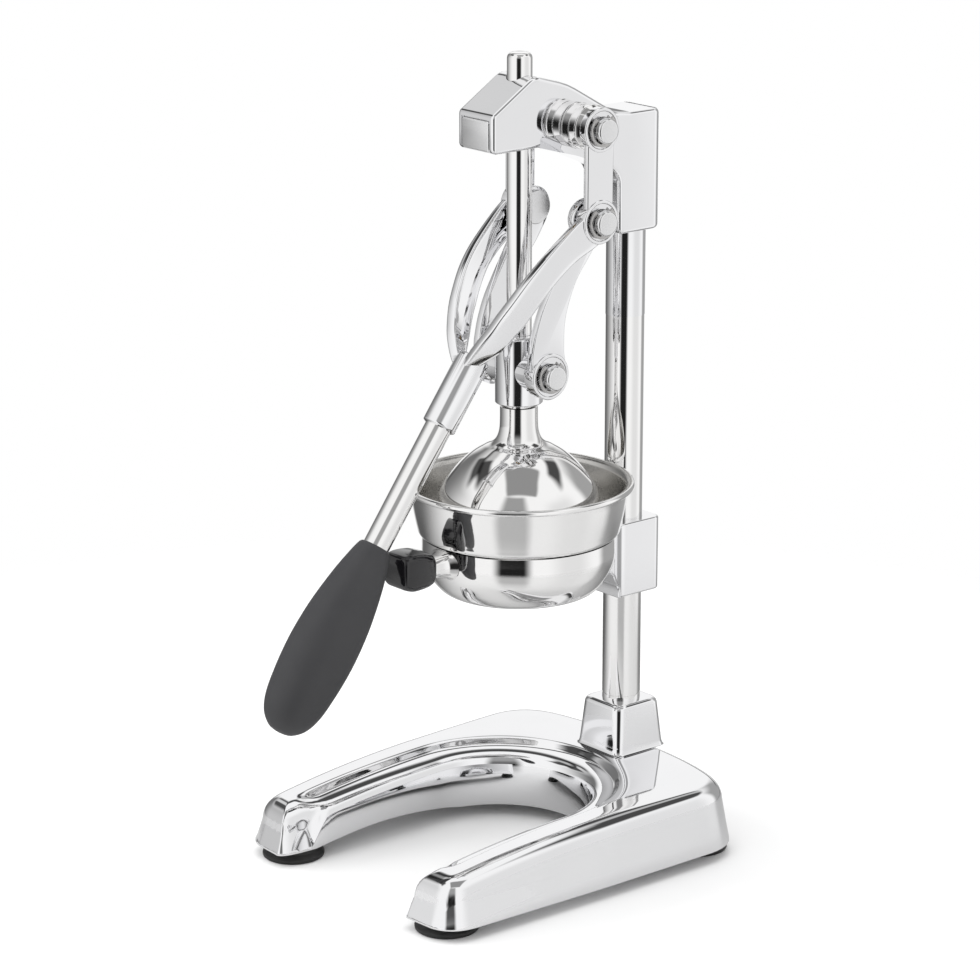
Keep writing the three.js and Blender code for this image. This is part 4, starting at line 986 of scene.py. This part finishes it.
# %% Bowl handle
NECK_Z = 178
NECK_ROWS = [(-52, 13.5, 8.6), (-54, 11.6, 7.9), (-57, 8.8, 6.7), (-61, 7.4, 6.0),
             (-65.4, 7.2, 5.8)]
KNOB_ROWS = [
    (-66.3, 8.2, 172.8, 186.2, 5), (-67.0, 9.6, 171.2, 187.6, 5), (-69.5, 10.4, 170.0, 188.6, 5),
    (-74, 11.0, 169.4, 189.8, 5), (-81, 11.2, 169.2, 190.4, 5), (-86, 10.9, 170.6, 190.0, 5),
    (-88.4, 9.8, 172.2, 188.8, 4.6), (-89.4, 7.8, 174.2, 186.8, 4),
]


def box_ring(y, half_width, z0, z1, corner):
    """A rounded rectangle across the handle at y, between two heights."""
    ring = rounded(box_corners(-half_width, half_width, z0, z1, corner), True, FINE_STEP)
    return [spot(p.x, y, p.y) for p in ring]


neck = casting("bowl_neck", [box_ring(y, w, NECK_Z - h, NECK_Z + h, h - 0.8)
                             for y, w, h in flowing(NECK_ROWS, 32)])
neck = carved(neck, turned("tool", bar_profile(54.7, 150, 190), steps=128))
hand_in(neck, "bowl", "polished_steel", "bowl_handle_stub")
knob = casting("bowl_grip", [box_ring(*row) for row in flowing(KNOB_ROWS, 40)], smooth=50)
hand_in(knob, "bowl", "gloss_black", "bowl_handle_grip")

# %% [markdown]
# ## The cup bracket
#
# The bracket grips the column with a plain block. Its front spreads into two horns that
# cradle the bowl. A block drawn from above is met with a side view, and the bowl's own form
# is then carved out of its front, so that the bowl is sure to fit.

# %% Bracket
BRACKET_PLAN = [
    (-15.4, 95, 6), (-15.4, 62, 14), (-25, 50, 2), (-25, 36), (25, 36), (25, 50, 2),
    (15.4, 62, 14), (15.4, 95, 6),
]
BRACKET_SIDE = [
    (105, 138.1), (105, 181.3), (30, 181.3), (30, 166), (48, 158, 10), (61.5, 144, 8),
    (61.5, 138.1, 1),
]
BRACKET_EDGE, BRACKET_LIMIT = 1.3, 40
BOWL_PLAY = 0.4
bracket = casting("bracket_body", [
    [spot(p.x, p.y, z) for p in rounded(BRACKET_PLAN)] for z in (120, 200)])
bracket = carved(bracket, plate("tool", rounded(BRACKET_SIDE), -40, 40), operation="INTERSECT")
print("bracket before the bowl's seat is cut", len(bracket.data.polygons), "faces")
bowl_space = [(r + BOWL_PLAY, z) for r, z in flowing(BOWL_OUTER, 40)]
seat = turned("tool", [(0, 193), (54.9, 193), *bowl_space, (0, 153.0)], steps=128)
bracket = carved(bracket, seat)
bracket = softened(bracket, BRACKET_EDGE, limit=BRACKET_LIMIT)
bracket = carved(bracket, rod_tool(COLUMN_R + 0.05, 130, 190, COLUMN_Y))
hand_in(bracket, "stand", "polished_casting", "cup_bracket")

# %% [markdown]
# ## Writing finishes as sums
#
# A finish is a small sum over the surface: a tone, plus a little of a pattern. This class
# wraps a socket, so that such a sum can be written as plain arithmetic.

# %% Sums
class Tone:
    """A socket of a finish. Arithmetic on it writes the Math nodes."""

    def __init__(self, tree, socket):
        self.tree = tree
        self.socket = socket

    def node(self, kind, settings=(), output=0, **inputs):
        """Adds a node, sets it up and feeds its inputs; returns one of its outputs."""
        made = self.tree.nodes.new(kind)
        for key, value in dict(settings).items():
            setattr(made, key, value)
        for key, value in inputs.items():
            place = made.inputs[int(key[1:])] if key[1:].isdigit() else made.inputs[key]
            if isinstance(value, Tone):
                value.feed(place)
            else:
                place.default_value = value
        return Tone(self.tree, made.outputs[output])

    def feed(self, socket):
        """Links this value into a socket."""
        self.tree.links.new(self.socket, socket)

    def maths(self, operation, other=0.0, swap=False):
        """A Math node on this value and another one."""
        first, second = (other, self) if swap else (self, other)
        return self.node("ShaderNodeMath", {"operation": operation}, _0=first, _1=second)

    def vector_maths(self, operation, **inputs):
        """A Vector Math node on this place, read as a number."""
        settings = {"operation": operation}
        return self.node("ShaderNodeVectorMath", settings, "Value", _0=self, **inputs)

    def __add__(self, other):
        return self.maths("ADD", other)

    def __mul__(self, other):
        return self.maths("MULTIPLY", other)

    def __sub__(self, other):
        return self.maths("SUBTRACT", other)

    def __rsub__(self, other):
        return self.maths("SUBTRACT", other, True)

    def __rtruediv__(self, other):
        return self.maths("DIVIDE", other, True)

    __radd__ = __add__
    __rmul__ = __mul__

    def step(self, low, high):
        """0 below low, 1 above high, and a smooth step between them."""
        return self.node("ShaderNodeMapRange", {"interpolation_type": "SMOOTHSTEP"},
                         Value=self, _1=low, _2=high)

    def band(self, low, high, soft):
        """1 between low and high, with soft ends."""
        return self.step(low - soft, low + soft) * (1 - self.step(high - soft, high + soft))


# %% [markdown]
# Every finish here is built the same way: a colour between two close tones, a roughness that
# wanders a little, and a height of fine bumps. All of it reads the place on the object, so it
# stays on a piece when the lever moves.

# %% Finishes
COAT_ROUGHNESS = 0.05


def new_finish(name, metallic, coat=0.0):
    """An empty finish: its shader, and the place on the object as a Tone."""
    material = bpy.data.materials.new(name)
    material.use_nodes = True
    shader = material.node_tree.nodes["Principled BSDF"]
    shader.inputs["Metallic"].default_value = metallic
    shader.inputs["Coat Weight"].default_value = coat
    shader.inputs["Coat Roughness"].default_value = COAT_ROUGHNESS
    place = material.node_tree.nodes.new("ShaderNodeTexCoord")
    return material, shader, Tone(material.node_tree, place.outputs["Object"])


def noise(place, scale, detail=3.0, stretch=None):
    """A noise pattern of that many waves per metre, squeezed along an axis if asked."""
    if stretch:
        place = place.node("ShaderNodeMapping", Vector=place, Scale=stretch)
    return place.node("ShaderNodeTexNoise", Vector=place, Scale=scale, Detail=detail)


def finish_surface(material, shader, low, high, pattern, rough, rough_pattern, bumps):
    """Writes a finish: a tone between two colours, a roughness, and a sum of fine bumps."""
    colour = pattern.node("ShaderNodeMix", {"data_type": "RGBA"}, 2,
                          _0=pattern, _6=(*low, 1), _7=(*high, 1))
    colour.feed(shader.inputs["Base Color"])
    base, spread = rough
    (rough_pattern * spread + base).feed(shader.inputs["Roughness"])
    height = None
    for field, depth in bumps:
        part = field * depth
        height = part if height is None else height + part
    bump = height.node("ShaderNodeBump", Distance=1.0, Height=height)
    bump.feed(shader.inputs["Normal"])
    return material


# %% [markdown]
# ## The finishes
#
# Polished castings and turned steel are nearly perfect mirrors. What tells them from a
# computer's mirror is a slow waviness of the polish and a hint of wiping marks. Satin steel
# has marks that run one way.

# %% Metals
def polished(name, low, high, rough, wave, hair):
    """A mirror finish with a slow wave and the finest wiping marks."""
    material, shader, place = new_finish(name, 1.0)
    slow = noise(place, 38.0, 1.0)
    marks = noise(place, 900.0, 2.0, (1.0, 1.0, 0.12))
    return finish_surface(material, shader, low, high, noise(place, 22.0), rough,
                          noise(place, 140.0, 4.0), [(slow, wave), (marks, hair)])


def brushed(name, low, high, rough, squeeze, hair):
    """A satin finish whose marks run along one way."""
    material, shader, place = new_finish(name, 1.0)
    marks = noise(place, 1400.0, 3.0, squeeze)
    return finish_surface(material, shader, low, high, marks, rough,
                          noise(place, 300.0, 4.0), [(marks, hair)])


finishes = {
    "polished_casting": polished("polished_casting_look", (0.86, 0.86, 0.87), (0.92, 0.92, 0.93),
                                 (0.02, 0.03), 6e-6, 4e-8),
    "polished_steel": polished("polished_steel_look", (0.88, 0.875, 0.87), (0.93, 0.925, 0.92),
                               (0.025, 0.03), 3e-6, 6e-8),
    "satin_steel": brushed("satin_steel_look", (0.72, 0.72, 0.73), (0.88, 0.88, 0.88),
                           (0.16, 0.08), (0.3, 1.0, 1.0), 1.5e-6),
    "plate_steel": brushed("plate_steel_look", (0.80, 0.80, 0.81), (0.90, 0.90, 0.90),
                           (0.2, 0.08), (0.05, 1.0, 1.0), 1.0e-6),
    "dark_steel": brushed("dark_steel_look", (0.40, 0.395, 0.39), (0.56, 0.55, 0.54),
                          (0.14, 0.08), (1.0, 1.0, 1.0), 1.0e-6),
    "bronze_bush": brushed("bronze_bush_look", (0.5, 0.34, 0.16), (0.62, 0.45, 0.24),
                           (0.3, 0.1), (1.0, 1.0, 0.2), 1.5e-6),
}
print("metals", *finishes)

# %% [markdown]
# The lever's grip is a matte moulding with a fine grain, the bowl's small grip is glossy, and
# the feet are dull rubber. Every piece now gets its finish, and so does each node of the frame
# that no piece stands for.

# %% Mouldings
def moulded(name, low, high, rough, grain, depth, coat=0.0):
    """A moulded finish with an even grain."""
    material, shader, place = new_finish(name, 0.0, coat)
    fine = noise(place, grain, 4.0)
    return finish_surface(material, shader, low, high, noise(place, 60.0), rough, fine,
                          [(fine, depth)])


finishes["charcoal_grip"] = moulded("charcoal_grip_look", (0.036, 0.036, 0.039),
                                    (0.047, 0.047, 0.050), (0.5, 0.14), 1500.0, 1.6e-5)
finishes["gloss_black"] = moulded("gloss_black_look", (0.006, 0.006, 0.007),
                                  (0.010, 0.009, 0.011), (0.08, 0.06), 300.0, 1.5e-6, 0.3)
finishes["rubber_foot"] = moulded("rubber_foot_look", (0.012, 0.012, 0.012), (0.02, 0.02, 0.02),
                                  (0.42, 0.16), 900.0, 1.2e-5)


def dress(piece, finish):
    """Gives a piece one finish and no other."""
    piece.data.materials.clear()
    piece.data.materials.append(finish)


for piece, slot in made_pieces:
    dress(piece, finishes[slot])

slots = {row["node"]: row["material_slot"] for row in frame["record"]["subparts"]}
for name, node in frame["nodes"].items():
    if not node.hide_render:
        dress(node, finishes[slots[name]])
        print("kept node", name)

# %% [markdown]
# The cup's inner wall is left satin by its maker. Its faces look towards the press axis, and
# so they are easy to pick. The floor inside, where the strainer stands, is satin too.

# %% Cup inside
CUP_FLOOR_BELOW = 0.2
cup.data.materials.append(brushed("cup_inside_look", (0.56, 0.55, 0.53), (0.68, 0.67, 0.65),
                                  (0.2, 0.08), (1.0, 1.0, 0.1), 1.0e-6))
for face in cup.data.polygons:
    outwards = (face.center - AXIS) * Vector((1, 1, 0))
    is_floor = face.normal.z > 0.9 and face.center.z < CUP_FLOOR_BELOW
    if face.normal.dot(outwards) < 0 or is_floor:
        face.material_index = 1
print("satin faces", sum(face.material_index for face in cup.data.polygons))

# %% [markdown]
# ## The studio
#
# Polished metal shows what stands round it. By its reflections, the photograph's studio was a
# white tent. A ray that leaves the press is told by two angles: how far it turns from the
# camera, positive to the right, and how far it rises. The studio is painted in those.

# %% Directions
IN_DEGREES = 180 / math.pi
world = bpy.data.worlds.new("studio")
bpy.context.scene.world = world
world.use_nodes = True
background = world.node_tree.nodes["Background"]
world_place = world.node_tree.nodes.new("ShaderNodeTexCoord")
way = Tone(world.node_tree, world_place.outputs["Generated"])
camera_way = Vector((math.sin(CAMERA_AZIMUTH), -math.cos(CAMERA_AZIMUTH), 0))


def along(direction):
    """How far the looked-at way points along a direction."""
    return way.vector_maths("DOT_PRODUCT", _1=direction)


turn = along(right).maths("ARCTAN2", along(camera_way)) * IN_DEGREES
left_turn = 0 - turn
far_side = turn.maths("ABSOLUTE")
rise = along(Z_AXIS).maths("ARCSINE") * IN_DEGREES
print("camera way", tuple(camera_way))

# %% [markdown]
# Dark things hang in the tent: a gap where the camera stood, a patch in the ceiling, a ring
# high behind the press, a lower ring on the left with a notch in it, and a low line far
# behind. Its walls are greyer beside and behind the press, most of all low on the left, and
# white again straight behind. All but the patch are bands and steps in the two angles.

# %% Dark things
# Low end, high end and softness of a band, or the two ends of a step, in degrees
GAP_TURN, GAP_TOP, GAP_FADE = (-27, 12, 7), (52, 58), (2, 34)
RING_RISE, RING_TURN, RING_THIN = (42, 57, 3), (82, 98), (132, 150, 5)
LOW_RING_RISE, LOW_RING_TURN = (34, 46, 3), (108, 166, 6)
NOTCH_TURN, NOTCH_TOP = (142, 155, 3), (41.5, 43.5)
SKYLINE_RISE, SKYLINE_TURN = (-1, 6, 1.5), (148, 160)
LEFT_WALL, RIGHT_WALL, RIGHT_FRONT = (62, 150), (106, 122), (45, 88, 14)
LOW_LEFT_TURN, LOW_LEFT_TOP = (45, 120), (-12.5, -10.5)
WHITE_BEHIND, WALL_TOP = (154, 168), (24, 46)
# The ceiling patch, in ceiling heights to the right of the press and towards the camera
PATCH_RIGHT, PATCH_AHEAD = (-0.3, 0.45, 0.05), (0.02, 0.62, 0.05)
LEVEL = 0.01
# Share of the light that each one takes away
DARKNESS = {
    "gap": 0.985, "gap_fade": 0.35, "patch": 0.70, "ring": 0.93, "ring_thin": 0.5,
    "low_ring": 0.9, "notch": 0.85, "skyline": 0.75, "left_wall": 0.82, "right_wall": 0.62,
    "right_front": 0.18, "low_left": 0.32,
}


def left_by(name, mask):
    """The share of light that a dark thing leaves."""
    return 1 - mask * DARKNESS[name]


gap = turn.band(*GAP_TURN) * (1 - rise.step(*GAP_TOP))
gap = gap * left_by("gap_fade", rise.step(*GAP_FADE))
over = 1 / along(Z_AXIS).maths("MAXIMUM", LEVEL)
patch = (along(right) * over).band(*PATCH_RIGHT) * (along(camera_way) * over).band(*PATCH_AHEAD)
ring = (rise.band(*RING_RISE) * far_side.step(*RING_TURN)
        * left_by("ring_thin", far_side.band(*RING_THIN)))
notch = left_turn.band(*NOTCH_TURN) * (1 - rise.step(*NOTCH_TOP))
low_ring = (rise.band(*LOW_RING_RISE) * left_turn.band(*LOW_RING_TURN)
            * left_by("notch", notch))
skyline = rise.band(*SKYLINE_RISE) * far_side.step(*SKYLINE_TURN)
low_left = left_turn.step(*LOW_LEFT_TURN) * (1 - rise.step(*LOW_LEFT_TOP))
walls = (left_by("left_wall", left_turn.step(*LEFT_WALL))
         * left_by("right_wall", turn.step(*RIGHT_WALL))
         * left_by("right_front", turn.band(*RIGHT_FRONT)) * left_by("low_left", low_left))
sides = (1 - walls) * (1 - far_side.step(*WHITE_BEHIND)) * (1 - rise.step(*WALL_TOP))
light = ((1 - sides) * left_by("patch", patch) * left_by("ring", ring)
         * left_by("low_ring", low_ring) * left_by("skyline", skyline) * left_by("gap", gap))
print("world nodes", len(world.node_tree.nodes))

# %% [markdown]
# Only reflections see this tent. The camera sees plain white behind the press, and all other
# light comes from an even pale room, so that the painted gap doesn't darken the matte parts.

# %% World
ROOM_LIGHT = 0.82
is_camera = way.node("ShaderNodeLightPath", output="Is Camera Ray")
is_glossy = way.node("ShaderNodeLightPath", output="Is Glossy Ray")
strength = is_camera + (1 - is_camera) * (is_glossy * light + (1 - is_glossy) * ROOM_LIGHT)
strength.feed(background.inputs["Strength"])
background.inputs["Color"].default_value = (1, 1, 1, 1)
bpy.context.scene.view_settings.view_transform = "Standard"
print("room light", ROOM_LIGHT)

# %% [markdown]
# Two large soft lamps give the matte parts their shape. Metal doesn't mirror them, because
# the tent above is all that it should show.

# %% Lamps
LAMP_AIM_Z = 220


def softbox(name, place, power, size):
    """A square lamp that looks at the middle of the press."""
    lamp_data = bpy.data.lights.new(name, "AREA")
    lamp_data.energy = power
    lamp_data.size = size
    lamp = bpy.data.objects.new(name, lamp_data)
    bpy.context.scene.collection.objects.link(lamp)
    lamp.location = spot(*place)
    aim_way = spot(0, 0, LAMP_AIM_Z) - lamp.location
    lamp.rotation_euler = aim_way.to_track_quat("-Z", "Y").to_euler()
    lamp.visible_glossy = False
    print(name, power, "watts")


softbox("lamp_left", (-900, -700, 700), 7.0, 0.9)
softbox("lamp_above", (100, -100, 1400), 8.0, 1.2)

# %% [markdown]
# The floor is a pale disc that melts into the white room at its edge, and it keeps the
# press's faint shadow. In the metal it shows darker and ends sooner, as it does in the
# photograph, so it has one tone and edge for the camera and others for all other rays. The
# darker tone for other rays is painted shade, darkest behind the press.

# %% Floor
FLOOR_R, FLOOR_Z = 0.66, -0.05
# Painted shade: the tone that the metal mirrors is darker than the white tone the camera sees
SEEN_TONE, MIRRORED_SHADE_TONE, GRAIN = 0.96, 0.66, 0.01
# Start and end of a fade, in metres from the middle, and what it takes away
NEAR_FADE, EDGE_FADE = ((0.1, 0.3), 0.42), ((0.36, 0.64), 0.58)
# Painted shade behind the press: where it starts and ends, in metres, and how much darker the
# mirrored floor gets
BEHIND, BEHIND_SHADE = (-0.06, 0.34), 0.6

floor = start("floor", bpy.ops.mesh.primitive_circle_add, vertices=128, radius=FLOOR_R,
              fill_type="NGON")
floor.data.transform(Matrix.Translation(spot(0, 0, FLOOR_Z)))
floor_look, floor_shader, floor_place = new_finish("floor_look", 0.0)
seen = floor_place.node("ShaderNodeLightPath", output="Is Camera Ray")
away = floor_place.vector_maths("LENGTH")
mirrored_fade = 1
for ends, loss in (NEAR_FADE, EDGE_FADE):
    mirrored_fade = mirrored_fade - away.step(*ends) * loss
seen_fade = 1 - away.step(FLOOR_R * 0.75, FLOOR_R * 0.98)
# Painted shade: the mirrored floor is darker behind the press
behind = floor_place.vector_maths("DOT_PRODUCT", _1=-camera_way).step(*BEHIND)
mirrored_shade_tone = MIRRORED_SHADE_TONE - behind * BEHIND_SHADE
tone = seen * SEEN_TONE + (1 - seen) * mirrored_shade_tone + noise(floor_place, 6.0) * GRAIN
grey = tone.node("ShaderNodeCombineColor", _0=tone, _1=tone, _2=tone)
grey.feed(floor_shader.inputs["Base Color"])
(seen * seen_fade + (1 - seen) * mirrored_fade).feed(floor_shader.inputs["Alpha"])
floor_shader.inputs["Roughness"].default_value = 0.9
floor_shader.inputs["Specular IOR Level"].default_value = 0.0
floor.data.materials.append(floor_look)
print("floor nodes", len(floor_look.node_tree.nodes))
